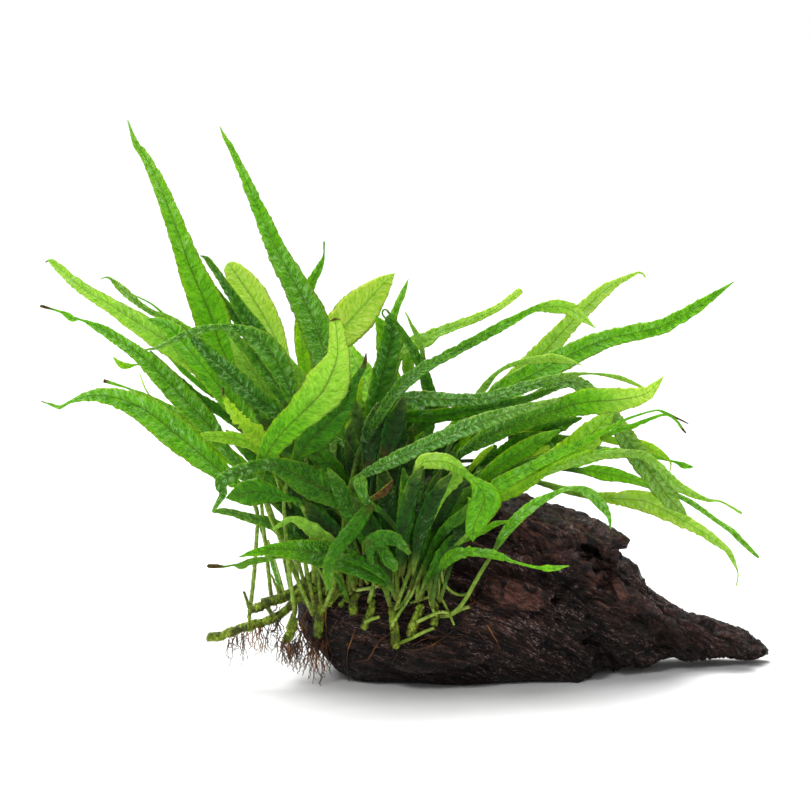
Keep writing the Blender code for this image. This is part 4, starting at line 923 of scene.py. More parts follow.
# small and half hidden fronds: tone, depth in mm, turn in degrees, then pixels and half widths from tip
# to foot; a depth or a turn that changes has one number each for the foot, the middle and the tip
extraFronds = {
    "thin_arc": ("mid", (30, 50, 58), 10, (
        (134, 295, 0.5), (142, 299, 0.8), (150, 303, 0.9), (158, 309, 1.1), (166, 316, 1.7), (175, 321, 3),
        (190, 332, 4), (205, 346, 5), (225, 365, 5), (250, 390, 4))),
    "bright_hook": ("bright", 2, 0, (
        (113, 357, 0.5), (117, 361, 2), (122, 365, 3.5), (128, 366, 3), (135, 365, 1), (141, 365, 1),
        (165, 374, 1.2))),
    "thin_hair": ("lime", (-6, -4, -4), 0, (
        (139.5, 373, 0.5), (142, 380, 0.7), (145, 388, 0.8), (150, 396, 0.9))),
    "dark_low": ("deep", (15, 18, 20), 0, ((208, 441, 0.5), (225, 449, 3), (246, 464, 3), (265, 478, 2))),
    "low_dark": ("shade", (-38, -32, -36), (20, 10, 0), (
        (264, 465, 2), (283, 474, 8), (297, 487, 10), (310, 497, 8), (325, 504, 5), (340, 512, 3),
        (354, 540, 2), (364, 578, 2))),
    "left_bit": ("deep", 32, 0, ((250, 420, 1), (264, 422, 3), (280, 418, 3))),
    "dark_slim": ("deep", 8, 20, (
        (171, 378, 0.7), (180, 379, 2), (188, 386, 2.5), (196, 394, 3), (205, 400, 3.5), (215, 408, 5),
        (225, 415, 5), (245, 432, 3))),
    "strip_a": ("deep", (8, 6, 6), 10, ((150, 351, 1), (172, 373, 3), (197, 397, 3), (215, 412, 3))),
    "strip_b": ("mid", 24, 10, ((168, 356, 1), (185, 372, 3), (200, 385, 3), (215, 396, 3))),
    "back_thin": ("deep", (24, 27, 30), 10, (
        (218, 289, 0.5), (221, 294, 1), (225, 301, 2.5), (232, 312, 5), (240, 322, 6), (252, 342, 6),
        (262, 360, 5))),
    "bright_mid": ("bright", (10, 12, 14), 0, (
        (303, 320, 6), (302, 340, 7), (303, 355, 7), (306, 370, 6), (310, 385, 4))),
    "pale_in": ("pale", (2, 3, 5), 0, (
        (268, 338, 0.5), (275, 345, 3.5), (285, 357, 4), (295, 370, 5), (302, 380, 5), (300, 396, 3))),
    "lime_in": ("pale", (-2, -2, 0), 0, (
        (232, 336, 3), (241, 352, 9), (250, 367, 12), (260, 382, 12), (270, 397, 9), (282, 414, 5))),
    "silver_in": ("silver", (-20, -22, -22), 10, (
        (222, 328, 2), (232, 334, 4), (242, 345, 5), (252, 354, 6), (262, 366, 8), (275, 380, 10),
        (288, 395, 10), (300, 410, 8))),
    "dark_finger": ("deep", -26, 0, ((268, 382, 1.5), (275, 390, 3.5), (283, 400, 4), (290, 412, 4))),
    "bright_up": ("mid", 8, 0, (
        (376, 316, 0.5), (381, 325, 6), (385, 340, 9), (386, 360, 9), (382, 385, 6), (378, 410, 3))),
    "pale_up": ("pale", (4, 5, 5), 0, (
        (405, 312, 0.5), (408, 317, 1), (411, 324, 1.5), (415, 331, 2.5), (418, 338, 4), (421, 346, 3),
        (424, 360, 2))),
    "pale_patch": ("pale", 25, 0, ((408, 340, 2), (408, 352, 6), (408, 368, 6), (408, 385, 4))),
    "level_dark": ("deep", (-16, -14, -6), (35, 35, 20), (
        (560, 386, 1), (545, 392, 3), (525, 399, 4), (505, 404, 5), (485, 407.5, 5), (465, 411, 6),
        (445, 414.5, 7), (425, 416, 7), (405, 417, 6), (392, 424, 4), (384, 450, 3), (382, 490, 2))),
    "folded_small": ("silver", (-46, -50, -53), 0, (
        (358, 474, 2), (360, 481, 7), (362, 492, 6), (368, 503, 4), (379, 510, 3), (390, 521, 2.5),
        (400, 534, 2.5), (409, 547, 2))),
    "brown_leaf": ("deep", (-54, -54, -52), 0, (
        (393, 480, 1), (388, 488, 3.5), (380, 495, 3.5), (370, 499, 2))),
    "in_lime": ("lime", 10, 0, ((362, 376, 1), (360, 388, 3), (357, 403, 3), (355, 415, 2))),
    "in_dark": ("deep", 5, 0, ((371, 403, 2), (364, 409, 3), (357, 414, 3))),
    "in_olive": ("mid", (14, 18, 20), 15, (
        (428, 410, 3), (427, 420, 8), (424, 433, 9), (420, 446, 8), (414, 465, 4))),
    "in_blue": ("deep", (20, 22, 22), 0, (
        (409, 415, 2), (408, 423, 6), (405, 435, 6), (398, 448, 5), (392, 460, 3))),
    "in_pale": ("mid", 16, 0, ((396, 423, 2), (397, 435, 3), (394, 446, 2))),
    "in_lit": ("deep", 2, 0, ((412, 406, 2), (398, 410, 5), (382, 417, 5), (372, 430, 3))),
    "in_vdark": ("shade", 30, 0, ((384, 408, 4), (385, 435, 8), (382, 460, 6))),
    "in_bright": ("bright", (0, 0, 2), 0, (
        (478, 412, 2), (475, 420, 6), (466, 432, 7), (458, 445, 7), (450, 460, 5))),
    "silver_edge": ("silver", -20, 20, ((330, 434, 1), (345, 445, 3), (358, 457, 3), (367, 465, 2))),
    "up_bright": ("bright", -6, 0, ((353, 396, 1), (352, 415, 5), (351, 430, 5), (350, 447, 4))),
    "dark_c": ("shade", (0, -5, -6), 10, (
        (332, 430, 2), (335, 440, 7), (343, 460, 8), (350, 480, 6), (358, 508, 3))),
    "dark_d": ("shade", (0, -2, -2), 10, (
        (312, 446, 2), (316, 455, 5), (322, 465, 6), (330, 478, 5), (338, 498, 3))),
    "arc_thin_r": ("bright", (-36, -25, -13), 30, (
        (592, 450, 1), (585, 453, 2), (570, 459, 2.5), (555, 466, 3), (540, 476, 4), (520, 488, 6),
        (500, 497, 5), (480, 508, 3))),
    "wave_thin_r": ("mid", (-18, -21, -24), 20, (
        (686, 433, 0.8), (684, 431, 1.2), (680, 425, 1.5), (674, 418.5, 1.5), (668, 415, 1.2),
        (660, 415.5, 1.5), (650, 419, 2), (640, 423, 2.5), (630, 427, 3), (620, 429, 3), (600, 438, 3))),
    "light_r": ("lime", (4, 9, 12), 20, (
        (670, 471, 0.5), (671, 463, 0.9), (666, 457, 2), (658, 451.5, 4), (648, 447, 5), (637, 443.5, 4.5),
        (625, 442, 4), (612, 440, 4), (594, 436, 3))),
    "slim_r": ("mid", (-7, -8, -8), 20, (
        (650, 486, 1), (640, 482, 3), (630, 478.5, 5), (618, 475.5, 6.5), (605, 473, 7.5), (592, 470.5, 6),
        (580, 470.5, 3), (555, 468, 2))),
    "low_bit": ("mid", (-38, -40, -43), 10, (
        (513, 521, 1), (505, 522, 1.8), (495, 524, 2.8), (485, 530, 3), (470, 537, 3), (455, 545, 2))),
    "long_pale": ("pale", (-41, -44, -50), (25, 25, 10), (
        (463, 470, 1), (455, 478, 8), (443, 495, 4), (431, 522, 2), (424, 535, 2), (418, 548, 2),
        (396, 608, 1.8))),
    "rib_a": ("shade", (-37, -33, -20), 20, (
        (450, 478, 0.5), (436, 484, 3), (423, 492, 6), (413, 503, 8), (408, 518, 8), (407, 535, 7),
        (408, 552, 5), (410, 572, 2))),
    "rib_b": ("shade", (-36, -34, -26), 20, (
        (440, 490, 2), (430, 503, 7), (422, 516, 8), (416, 530, 7), (413, 545, 5), (412, 568, 2))),
    "up_lit": ("bright", (-26, -14, -4), 20, (
        (418, 458, 3), (410, 478, 7), (402, 495, 8), (397, 512, 6), (394, 535, 2))),
    "fan_a": ("deep", (-46, -40, -30), 30, (
        (470, 488, 2), (458, 500, 8), (446, 513, 9), (436, 528, 8), (428, 545, 5), (420, 562, 2),
        (410, 590, 1.4))),
    "fan_b": ("deep", (-45, -42, -42), 30, (
        (468, 505, 1.5), (457, 520, 7), (446, 532, 8), (437, 545, 7), (428, 560, 4), (415, 585, 1.4))),
    "fan_c": ("deep", (-49, -47, -40), 30, (
        (464, 528, 1.5), (452, 543, 7), (441, 556, 7), (433, 570, 5), (427, 580, 3), (418, 600, 1.4))),
    "fan_d": ("pale", (-47, -43, -42), 30, (
        (470, 533, 1.5), (458, 542, 4), (448, 552, 4), (438, 565, 2), (428, 590, 1.6))),
    "dark_e": ("deep", (-10, 2, 0), 20, (
        (540, 458, 2), (522, 464, 5), (505, 470, 6), (485, 474, 6), (465, 485, 4), (445, 500, 2))),
    "lime_e": ("lime", (0, 5, 8), 20, (
        (550, 447, 2), (533, 450, 6), (518, 453, 7), (503, 459, 5), (485, 469, 2))),
    "silver_e": ("silver", (8, 8, 6), 30, (
        (572, 438, 3), (555, 441, 8), (540, 439, 8), (525, 437, 6), (508, 437, 3))),
    "lime_f": ("lime", 2, 0, ((493, 446, 1.5), (484, 453, 3), (476, 462, 3), (468, 474, 2))),
    "dark_f": ("deep", (-2, 5, 6), 0, ((496, 445, 2), (489, 457, 5), (482, 470, 5), (473, 486, 4))),
    "pale_under": ("pale", (-50, -52, -52), 0, (
        (273, 530, 1), (283, 523, 3), (292, 519, 3), (302, 523, 6), (313, 530, 7), (325, 537, 6),
        (335, 543, 3), (346, 560, 1.6))),
    "spotted_hang": ("deep", (-52, -62, -66), 0, (
        (329, 590, 2), (328, 575, 5.5), (330, 560, 6), (337, 548, 7), (345, 538, 8), (354, 528, 8),
        (363, 515, 7), (372, 506, 4))),
    "dark_g": ("deep", (-22, -20, -20), 0, ((298, 508, 2), (318, 510, 6), (335, 510, 7), (354, 508, 5))),
    "fork_a": ("deep", (-58, -60, -60), 0, (
        (410, 554, 2), (398, 541, 6), (384, 538, 8), (370, 544, 8), (364, 554, 2))),
    "fork_b": ("deep", (-58, -60, -61), 0, (
        (396, 571, 2), (392, 564, 6), (386, 555, 6), (380, 545, 5), (376, 538, 2))),
    "fork_c": ("deep", (-58, -60, -61), 0, ((373, 563, 1), (370, 555, 4), (370, 545, 5), (372, 536, 2))),
    # dark leaves low in front of the stipes and inside the clump
    "front_a": ("deep", (-44, -48, -46), (10, 15, 10), (
        (328, 468, 1), (337, 485, 8), (347, 505, 10), (358, 525, 9), (368, 545, 6), (376, 565, 3),
        (380, 588, 1.4))),
    "front_b": ("shade", (-45, -49, -50), (-10, -15, -10), (
        (352, 497, 1), (361, 510, 7), (371, 527, 9), (380, 545, 8), (387, 562, 5), (391, 582, 1.4))),
    "front_c": ("shade", (-42, -44, -38), 10, (
        (380, 462, 1), (384, 480, 8), (387, 500, 10), (389, 520, 10), (390, 542, 8), (391, 562, 4),
        (393, 588, 1.4))),
    "front_d": ("deep", (-43, -46, -42), (15, 20, 15), (
        (403, 468, 1), (406, 488, 7), (406, 510, 9), (404, 530, 8), (401, 550, 5), (399, 578, 1.4))),
    "front_e": ("shade", (-44, -47, -48), (-10, -15, -10), (
        (298, 498, 1), (314, 513, 8), (330, 530, 10), (345, 546, 8), (358, 562, 5), (368, 584, 1.4))),
    "front_f": ("deep", (-46, -52, -55), (20, 25, 20), (
        (318, 566, 1), (336, 565, 6), (354, 568, 8), (371, 574, 8), (386, 583, 4), (397, 596, 1.4))),
    "front_g": ("deep", (-46, -54, -58), 30, (
        (334, 558, 1), (350, 558, 4), (364, 563, 5), (378, 571, 5), (389, 582, 3), (396, 600, 1.4))),
    "front_h": ("shade", (-42, -43, -38), 10, (
        (424, 466, 1), (417, 485, 8), (411, 505, 10), (407, 525, 9), (404, 548, 6), (403, 575, 1.4))),
    "front_i": ("shade", (-36, -38, -34), 0, (
        (286, 468, 1), (298, 488, 8), (313, 510, 10), (330, 532, 9), (346, 554, 5), (358, 584, 1.4))),
    "front_j": ("shade", (-34, -34, -32), 0, (
        (260, 478, 1), (278, 498, 7), (298, 520, 9), (318, 541, 8), (334, 560, 4), (345, 588, 1.4))),
    "front_k": ("shade", (-40, -42, -36), 0, (
        (440, 470, 1), (433, 490, 7), (426, 510, 9), (420, 530, 8), (414, 550, 5), (408, 580, 1.4))),
    "front_l": ("shade", (-40, -40, -30), (20, 20, 10), (
        (470, 470, 1), (458, 486, 6), (445, 505, 8), (434, 524, 7), (425, 545, 5), (416, 572, 1.4))),
    "front_m": ("shade", (-42, -44, -40), (-20, -20, -10), (
        (484, 512, 1), (470, 522, 5), (456, 535, 6), (443, 550, 5), (434, 568, 3), (426, 590, 1.4))),
    "inner_a": ("shade", (-20, -12, -6), 0, (
        (354, 398, 1), (358, 418, 8), (363, 444, 11), (370, 470, 10), (378, 505, 4))),
    "inner_b": ("shade", (-16, -10, -4), 0, ((402, 412, 1), (399, 438, 9), (394, 465, 11), (388, 500, 5))),
    "inner_c": ("shade", (-22, -16, -12), 0, ((330, 432, 1), (342, 455, 9), (355, 480, 10), (367, 512, 4))),
    "inner_d": ("shade", (-16, -8, -2), 0, ((430, 424, 1), (421, 448, 9), (411, 474, 10), (401, 505, 4))),
    "inner_e": ("shade", (-10, -4, 2), 10, ((470, 418, 1), (452, 436, 8), (434, 456, 10), (416, 482, 4))),
    "inner_f": ("deep", (2, 10, 18), 10, ((282, 372, 1), (295, 398, 9), (312, 428, 11), (332, 460, 5))),
    "front_n": ("shade", (-48, -56, -58), (15, 20, 15), (
        (423, 466, 1), (416, 478, 6), (411, 492, 8), (407, 508, 8), (403, 526, 7), (401, 545, 5),
        (400, 575, 1.4))),
    "front_o": ("shade", (-46, -54, -56), (-15, -20, -15), (
        (452, 474, 1), (442, 486, 6), (433, 502, 8), (425, 520, 8), (419, 538, 6), (413, 575, 1.4))),
    "inner_g": ("shade", (-30, -26, -20), 0, ((404, 396, 1), (398, 416, 9), (391, 436, 10), (384, 458, 5))),
    "inner_h": ("shade", (-30, -24, -18), 0, ((378, 402, 1), (374, 422, 9), (370, 446, 10), (368, 472, 5))),
    "inner_i": ("deep", (-12, -6, 0), 0, ((452, 398, 1), (440, 408, 7), (426, 420, 8), (410, 434, 4))),
    # fill of the gaps between the longer fronds
    "fill_a": ("shade", (-14, -14, -10), 0, (
        (256, 416, 1), (274, 430, 8), (292, 443, 11), (310, 456, 10), (328, 471, 6), (345, 502, 2))),
    "fill_b": ("deep", (-20, -22, -20), 10, (
        (294, 432, 1), (308, 446, 8), (324, 460, 10), (340, 476, 8), (356, 500, 4), (366, 530, 2))),
    "fill_c": ("shade", (-24, -22, -18), 0, (
        (352, 420, 1), (350, 440, 8), (352, 462, 10), (358, 484, 6), (366, 515, 2))),
    "fill_d": ("deep", (4, 8, 10), 15, (
        (582, 418, 1), (562, 424, 7), (540, 432, 9), (516, 444, 8), (492, 458, 5), (470, 474, 2))),
    "fill_e": ("mid", (-26, -20, -14), 20, (
        (560, 430, 1), (540, 440, 7), (518, 453, 9), (496, 468, 8), (474, 488, 5), (452, 520, 2))),
    "fill_f": ("deep", (-18, -20, -18), 10, (
        (232, 473, 1.5), (248, 478, 6), (268, 484, 9), (290, 492, 9), (314, 505, 6), (334, 532, 2))),
    "fill_h": ("shade", (-34, -32, -30), 0, (
        (306, 505, 1), (322, 512, 7), (338, 521, 9), (350, 532, 7), (362, 552, 3))),
    "fill_g": ("shade", (-30, -28, -26), -10, (
        (268, 500, 1), (284, 508, 6), (302, 517, 8), (320, 528, 7), (338, 545, 4), (350, 575, 1.6))),
    "fill_i": ("deep", (-4, -6, -8), 10, (
        (226, 430, 1), (240, 443, 6), (254, 455, 9), (270, 468, 9), (290, 485, 6), (320, 520, 2))),
    "fill_j": ("mid", (6, 4, 0), 10, (
        (190, 418, 1), (203, 432, 5), (217, 446, 7), (233, 459, 7), (252, 472, 5), (275, 490, 2))),
    # fronds that lean away behind
    "back_a": ("mid", (26, 54, 84), (-50, -55, -60), (
        (215, 395, 1), (240, 405, 8), (270, 420, 11), (300, 437, 10), (335, 460, 6), (372, 484, 2))),
    "back_b": ("deep", (24, 52, 80), (55, 60, 60), (
        (300, 345, 1), (308, 365, 8), (320, 392, 11), (335, 420, 10), (352, 450, 6), (376, 482, 2))),
    "back_c": ("bright", (26, 58, 86), -60, (
        (345, 352, 1), (350, 370, 8), (357, 395, 11), (366, 422, 10), (378, 450, 6), (396, 480, 2))),
    "back_d": ("mid", (24, 44, 66), (60, 65, 60), (
        (385, 345, 1), (387, 365, 7), (390, 390, 10), (394, 418, 9), (398, 448, 6), (404, 480, 2))),
    "back_e": ("deep", (24, 56, 88), (50, 60, 70), (
        (430, 385, 1), (428, 400, 7), (424, 418, 10), (420, 436, 9), (416, 455, 6), (412, 478, 2))),
    "back_f": ("mid", (26, 52, 82), (-45, -50, -50), (
        (530, 385, 1), (512, 393, 8), (492, 404, 10), (470, 420, 9), (448, 442, 6), (425, 470, 2))),
    "back_g": ("bright", (28, 48, 70), (45, 45, 50), (
        (598, 402, 1), (575, 404, 8), (548, 409, 11), (518, 418, 10), (485, 436, 6), (450, 462, 2))),
    "back_h": ("deep", (28, 44, 60), -50, (
        (610, 448, 1), (586, 450, 7), (558, 451, 9), (528, 455, 8), (495, 462, 5), (462, 470, 2))),
    "back_i": ("lime", (30, 62, 88), 70, (
        (330, 400, 1), (338, 415, 8), (348, 432, 10), (360, 450, 9), (374, 468, 6), (390, 485, 2))),
    "back_j": ("mid", (30, 66, 88), -65, (
        (252, 425, 1), (275, 432, 8), (302, 442, 10), (330, 454, 8), (358, 470, 5), (384, 486, 2))),
    "back_k": ("deep", (30, 56, 74), (40, 50, 40), (
        (345, 560, 1), (350, 540, 7), (356, 520, 9), (366, 503, 8), (378, 492, 5), (394, 486, 2))),
    "back_l": ("mid", (30, 54, 70), -40, (
        (478, 556, 1), (468, 536, 7), (457, 517, 9), (446, 502, 7), (436, 491, 4), (424, 483, 2))),
    # fill of the dense middle and of the unseen back
    "core_a": ("shade", (10, 25, 40), (10, 0, -10), (
        (262, 400, 1), (285, 425, 7), (305, 450, 8), (325, 475, 7), (345, 505, 3))),
    "core_b": ("shade", (8, 20, 34), 0, (
        (300, 385, 1), (315, 415, 7), (328, 445, 8), (342, 475, 6), (355, 508, 3))),
    "core_c": ("mid", (14, 24, 34), 10, (
        (345, 372, 1), (350, 400, 7), (354, 430, 8), (360, 462, 7), (368, 500, 3))),
    "core_d": ("shade", (14, 26, 38), 0, (
        (392, 372, 1), (392, 400, 7), (388, 430, 8), (384, 460, 7), (380, 500, 3))),
    "core_e": ("shade", (14, 26, 38), 0, (
        (440, 392, 1), (432, 412, 7), (420, 435, 8), (408, 460, 7), (398, 495, 3))),
    "core_f": ("mid", (16, 30, 44), (10, 20, 20), (
        (510, 395, 1), (490, 405, 6), (465, 420, 7), (442, 440, 7), (420, 470, 5), (405, 500, 3))),
    "core_g": ("deep", (8, 18, 30), (20, 30, 30), (
        (548, 412, 1), (525, 418, 6), (500, 427, 7), (474, 440, 7), (448, 460, 5), (425, 490, 3))),
    "core_h": ("shade", (-12, -16, -20), 0, (
        (268, 452, 1), (285, 462, 6), (305, 477, 8), (325, 495, 7), (345, 522, 3))),
    "core_i": ("mid", (-8, -10, -12), 0, (
        (300, 430, 1), (312, 450, 7), (325, 472, 8), (340, 495, 6), (356, 525, 3))),
    "core_j": ("shade", (-26, -24, -22), 0, (
        (345, 440, 1), (352, 462, 7), (360, 485, 8), (370, 510, 6), (385, 540, 3))),
    "core_k": ("shade", (-26, -20, -14), 0, (
        (412, 430, 1), (410, 455, 7), (405, 480, 8), (398, 505, 6), (394, 540, 3))),
    "core_l": ("mid", (-32, -30, -24), 0, (
        (380, 470, 1), (384, 490, 6), (386, 510, 8), (390, 532, 6), (394, 560, 3))),
    "core_m": ("shade", (-34, -34, -30), 10, (
        (330, 500, 1), (344, 515, 7), (358, 530, 7), (374, 548, 5), (388, 575, 2))),
    "core_n": ("shade", (-20, -16, -12), 10, (
        (455, 450, 1), (445, 468, 6), (432, 488, 7), (418, 510, 6), (406, 540, 3))),
}

extraLook = dict(frondLook, alongStep=1.0, acrossCuts=8, lift=(-0.2, 0.0, 0.15))
extraSpecials = {
    "brown_leaf": {"brown": 1.2},
    "low_dark": {"ruffle": 0.1},
    "wave_thin_r": {"brown": 0.08},
}
extraSections = 18
extraSeed = 101   # well past the seeds of the fronds that have solids


def between(value, t):
    if isinstance(value, (int, float)):
        return value
    foot, middle, tip = value
    return foot + (middle - foot) * t * 2 if t < 0.5 else middle + (tip - middle) * (t * 2 - 1)


def tracedSpine(depth, turn, trace):
    rows = smoothRows(np.array(trace[::-1], float), 5)
    rows = spread(rows, np.hypot(*np.diff(rows[:, :2], axis=0).T), extraSections)
    share = np.linspace(0, 1, extraSections)
    middles = [place(u, v, between(depth, t) * mm) for (u, v, _), t in zip(rows, share)]
    halves, sides = [], []
    for i, middle in enumerate(middles):
        ahead = middles[min(i + 1, extraSections - 1)] - middles[max(i - 1, 0)]
        toEye = (eye - middle).normalized()
        angle = math.radians(between(turn, share[i]))
        side = ahead.cross(toEye).normalized()
        sides.append(side * math.cos(angle) + ahead.normalized().cross(side) * math.sin(angle))
        scale = (middle - eye).dot(lookDir) / view["distance"]
        halves.append(max(rows[i][2], 0.3) * view["pixel"] * scale / math.cos(angle))
    return np.array([list(m) for m in middles]), np.array(halves), np.array([list(s) for s in sides])


def makeExtraFronds():
    for number, (name, (tone, depth, turn, trace)) in enumerate(extraFronds.items()):
        look = dict(extraLook, **extraSpecials.get(name, {}))
        item = makeBlade("smallLeaf_" + name, tracedSpine(depth, turn, trace), look, number + extraSeed)
        finishPiece(item, frondMaterial(tone), "frond_deep" if tone == "shade" else "frond_" + tone)
    print("small fronds", len(extraFronds))


rhizomeLook = {
    "voxel": 0.5,       # mm
    "softening": 6,
    "swelling": 0.15,   # mm
    "lumps": ((0.50, 0.42), (0.42, 1.1), (0.26, 2.4)),  # height in mm and how often they come
}


def makeRhizomeMaterial():
    s = Shade("rhizome")
    scale = s.cells(s.spot((1.0, 1.0, 0.6)), 1100.0)
    colour = s.ramp(s.noise(s.spot(), 160.0, 4.0, 0.6), (0.32, srgb(0.26, 0.29, 0.05)),
                    (0.48, srgb(0.50, 0.62, 0.09)), (0.64, srgb(0.75, 0.85, 0.26)))
    colour = s.mix(s.level(scale, 0.30, 0.65, 0.0, 0.6), colour, srgb(0.16, 0.15, 0.04))
    bare = s.level(s.noise(s.spot(), 230.0, 5.0), 0.53, 0.65, 0.0, 0.8)
    colour = s.mix(bare, colour, srgb(0.12, 0.10, 0.03))
    s.set(Base_Color=colour, Roughness=0.62, Specular_IOR_Level=0.4)
    s.set(Subsurface_Weight=0.1, Subsurface_Scale=0.001)
    fibres = s.bump(s.noise(s.spot(), 1500.0, 3.0), 0.6, 0.3 * mm)
    s.set(Normal=s.bump(scale, 0.9, 0.5 * mm, fibres))
    return s.material


def makeRhizomes(material):
    pieces = []
    for name in sorted(nodeSlots):
        if not name.startswith("rhizome_"):
            continue
        pieceName = name.replace("rhizome_", "rhizomeStem_")
        item = fineCopy(name, pieceName, rhizomeLook["voxel"], rhizomeLook["softening"])
        mesh = item.data
        points, normals = getPoints(mesh), getNormals(mesh)
        for i, point in enumerate(points):
            p = Vector(point) / mm
            lump = sum(high * noise.noise(p * often) for high, often in rhizomeLook["lumps"])
            points[i] = point + normals[i] * ((lump + rhizomeLook["swelling"]) * mm)
        points[:, 2] = np.maximum(points[:, 2], 0.0)
        setPoints(mesh, points)
        activate(item)
        bpy.ops.object.shade_smooth()
        finishPiece(item, material, "rhizome", name)
        pieces.append(item)
    print("rhizomes", len(pieces))
    return pieces


# radius in pixels, then the traced pixels from foot to tip
strands = {
    "stipe": (
        (1.8, ((356, 590), (364, 589), (375, 587), (385, 583), (392, 578), (397, 570), (404, 560), (412, 554),
               (418, 540))),
        (0.9, ((391, 578), (385, 567), (378, 556), (370, 545))),
        (1.8, ((392, 626), (400, 612), (408, 600), (414, 590), (420, 577), (428, 560))),
        (1.8, ((395, 609), (401, 605), (407, 596), (411, 585), (414, 574), (416, 558), (420, 540))),
        (1.9, ((400, 643), (412, 638), (424, 632), (434, 628))),
        (1.9, ((417, 622), (430, 616), (440, 612), (449, 613))),
        (1.5, ((410, 603), (420, 600), (432, 596), (438, 597), (443, 601), (447, 609), (450, 615),
               (454, 625))),
        (2.0, ((449, 616), (456, 612), (462, 609), (469, 607))),
        (1.7, ((467, 594), (460, 595), (452, 592), (446, 586), (442, 578), (442, 565), (446, 548))),
        (1.5, ((437, 616), (431, 605), (429, 590), (430, 575), (433, 558))),
        (1.3, ((438, 600), (439, 586), (438, 572), (440, 556))),
        (0.9, ((407, 588), (404, 582), (401, 572), (400, 560))),
        (2.0, ((365, 622), (372, 619), (379, 617))),
        (1.4, ((285, 597), (281, 582), (277, 568), (273, 555), (268, 540))),
        (2.2, ((315, 611), (309, 603), (302, 590), (295, 572), (289, 556), (283, 540))),
        (1.4, ((326, 588), (323, 578), (318, 568), (312, 556))),
        (1.6, ((341, 590), (338, 578), (334, 566))),
        (1.5, ((352, 586), (356, 574), (352, 560))),
    ),
    "sprout": (
        (2.0, ((249, 608), (247, 601), (244, 592))),
        (3.3, ((288, 630), (292, 620), (295, 609), (294, 600))),
        (2.0, ((251, 631), (249, 621), (250, 609))),
        (1.6, ((279, 594), (275, 584), (271, 574))),
        (3.4, ((314, 606), (320, 598), (325, 589))),
        (3.4, ((324, 603), (332, 596), (341, 584))),
        (3.2, ((348, 591), (348, 582), (349, 573))),
        (3.6, ((304, 592), (310, 588), (316, 591))),
        (2.4, ((268, 607), (272, 614), (277, 618))),
        (3.6, ((262, 602), (272, 599), (286, 594), (298, 586), (310, 574))),
        (2.6, ((284, 612), (292, 600), (299, 588))),
        (3.6, ((300, 592), (306, 584), (314, 579))),
        (3.2, ((316, 598), (326, 589), (336, 581))),
        (3.2, ((328, 604), (338, 594), (350, 588))),
        (3.8, ((306, 602), (311, 593), (317, 584))),
        (2.6, ((340, 606), (346, 597), (354, 590))),
        (3.0, ((292, 604), (300, 598), (308, 596))),
    ),
    "hanging": (
        (0.5, ((232, 634), (236, 637), (243, 637), (249, 632))),
        (0.5, ((254, 625), (255, 632), (258, 639))),
        (0.7, ((262, 624), (268, 632), (267, 642), (266, 654))),
        (0.5, ((262, 634), (268, 641), (266, 648))),
        (0.6, ((272, 622), (270, 630), (275, 638))),
        (0.7, ((279, 620), (281, 632), (279, 642), (277, 651))),
        (0.5, ((283, 645), (288, 649), (293, 648))),
        (0.7, ((296, 625), (300, 640), (302, 655), (299, 665))),
        (0.5, ((300, 630), (297, 650), (292, 666))),
        (0.6, ((304, 638), (308, 655), (306, 669))),
        (0.7, ((312, 640), (315, 655), (317, 668), (322, 678))),
        (0.5, ((316, 640), (312, 650), (310, 663))),
        (0.6, ((318, 640), (325, 655), (330, 666))),
    ),
    "lying": (
        (0.8, ((326, 606), (326, 625), (328, 642), (332, 655), (330, 669))),
        (0.8, ((355, 630), (351, 640), (348, 655), (347, 668), (349, 681))),
        (1.1, ((393, 629), (388, 635), (378, 642), (373, 652), (366, 660), (354, 662))),
        (0.7, ((398, 652), (394, 660), (391, 667))),
        (0.8, ((325, 645), (334, 640), (345, 632), (352, 628))),
        (0.9, ((402, 650), (415, 650), (425, 648), (440, 641), (448, 634), (456, 628), (463, 620),
               (467, 615))),
        (0.7, ((412, 646), (430, 638), (450, 637), (463, 637))),
        (0.7, ((438, 641), (450, 650), (455, 660), (456, 666))),
        (0.6, ((425, 650), (435, 657), (441, 658))),
        (0.7, ((487, 625), (495, 638), (500, 648), (503, 660))),
        (0.8, ((350, 618), (360, 615), (370, 614), (383, 613), (396, 615))),
        (0.7, ((378, 603), (385, 608), (392, 608), (398, 603))),
        (0.8, ((330, 634), (336, 622), (342, 610), (350, 605))),
        (0.8, ((310, 640), (322, 645), (340, 648), (352, 640))),
        (0.6, ((416, 628), (432, 630), (452, 622), (470, 626), (486, 640))),
        (0.6, ((360, 640), (372, 634), (388, 640), (400, 634))),
    ),
}
surfaces = []


def rememberSurfaces(items):
    for item in items:
        mesh = item.data
        corners = [v.co[:] for v in mesh.vertices]
        surfaces.append(BVHTree.FromPolygons(corners, [p.vertices[:] for p in mesh.polygons]))


def depthAt(u, v):
    # y of the first solid surface behind this pixel, or nothing
    ray = sightRay(u, v).normalized()
    hits = [tree.ray_cast(eye, ray)[0] for tree in surfaces]
    found = [hit.y for hit in hits if hit]
    return min(found) if found else None


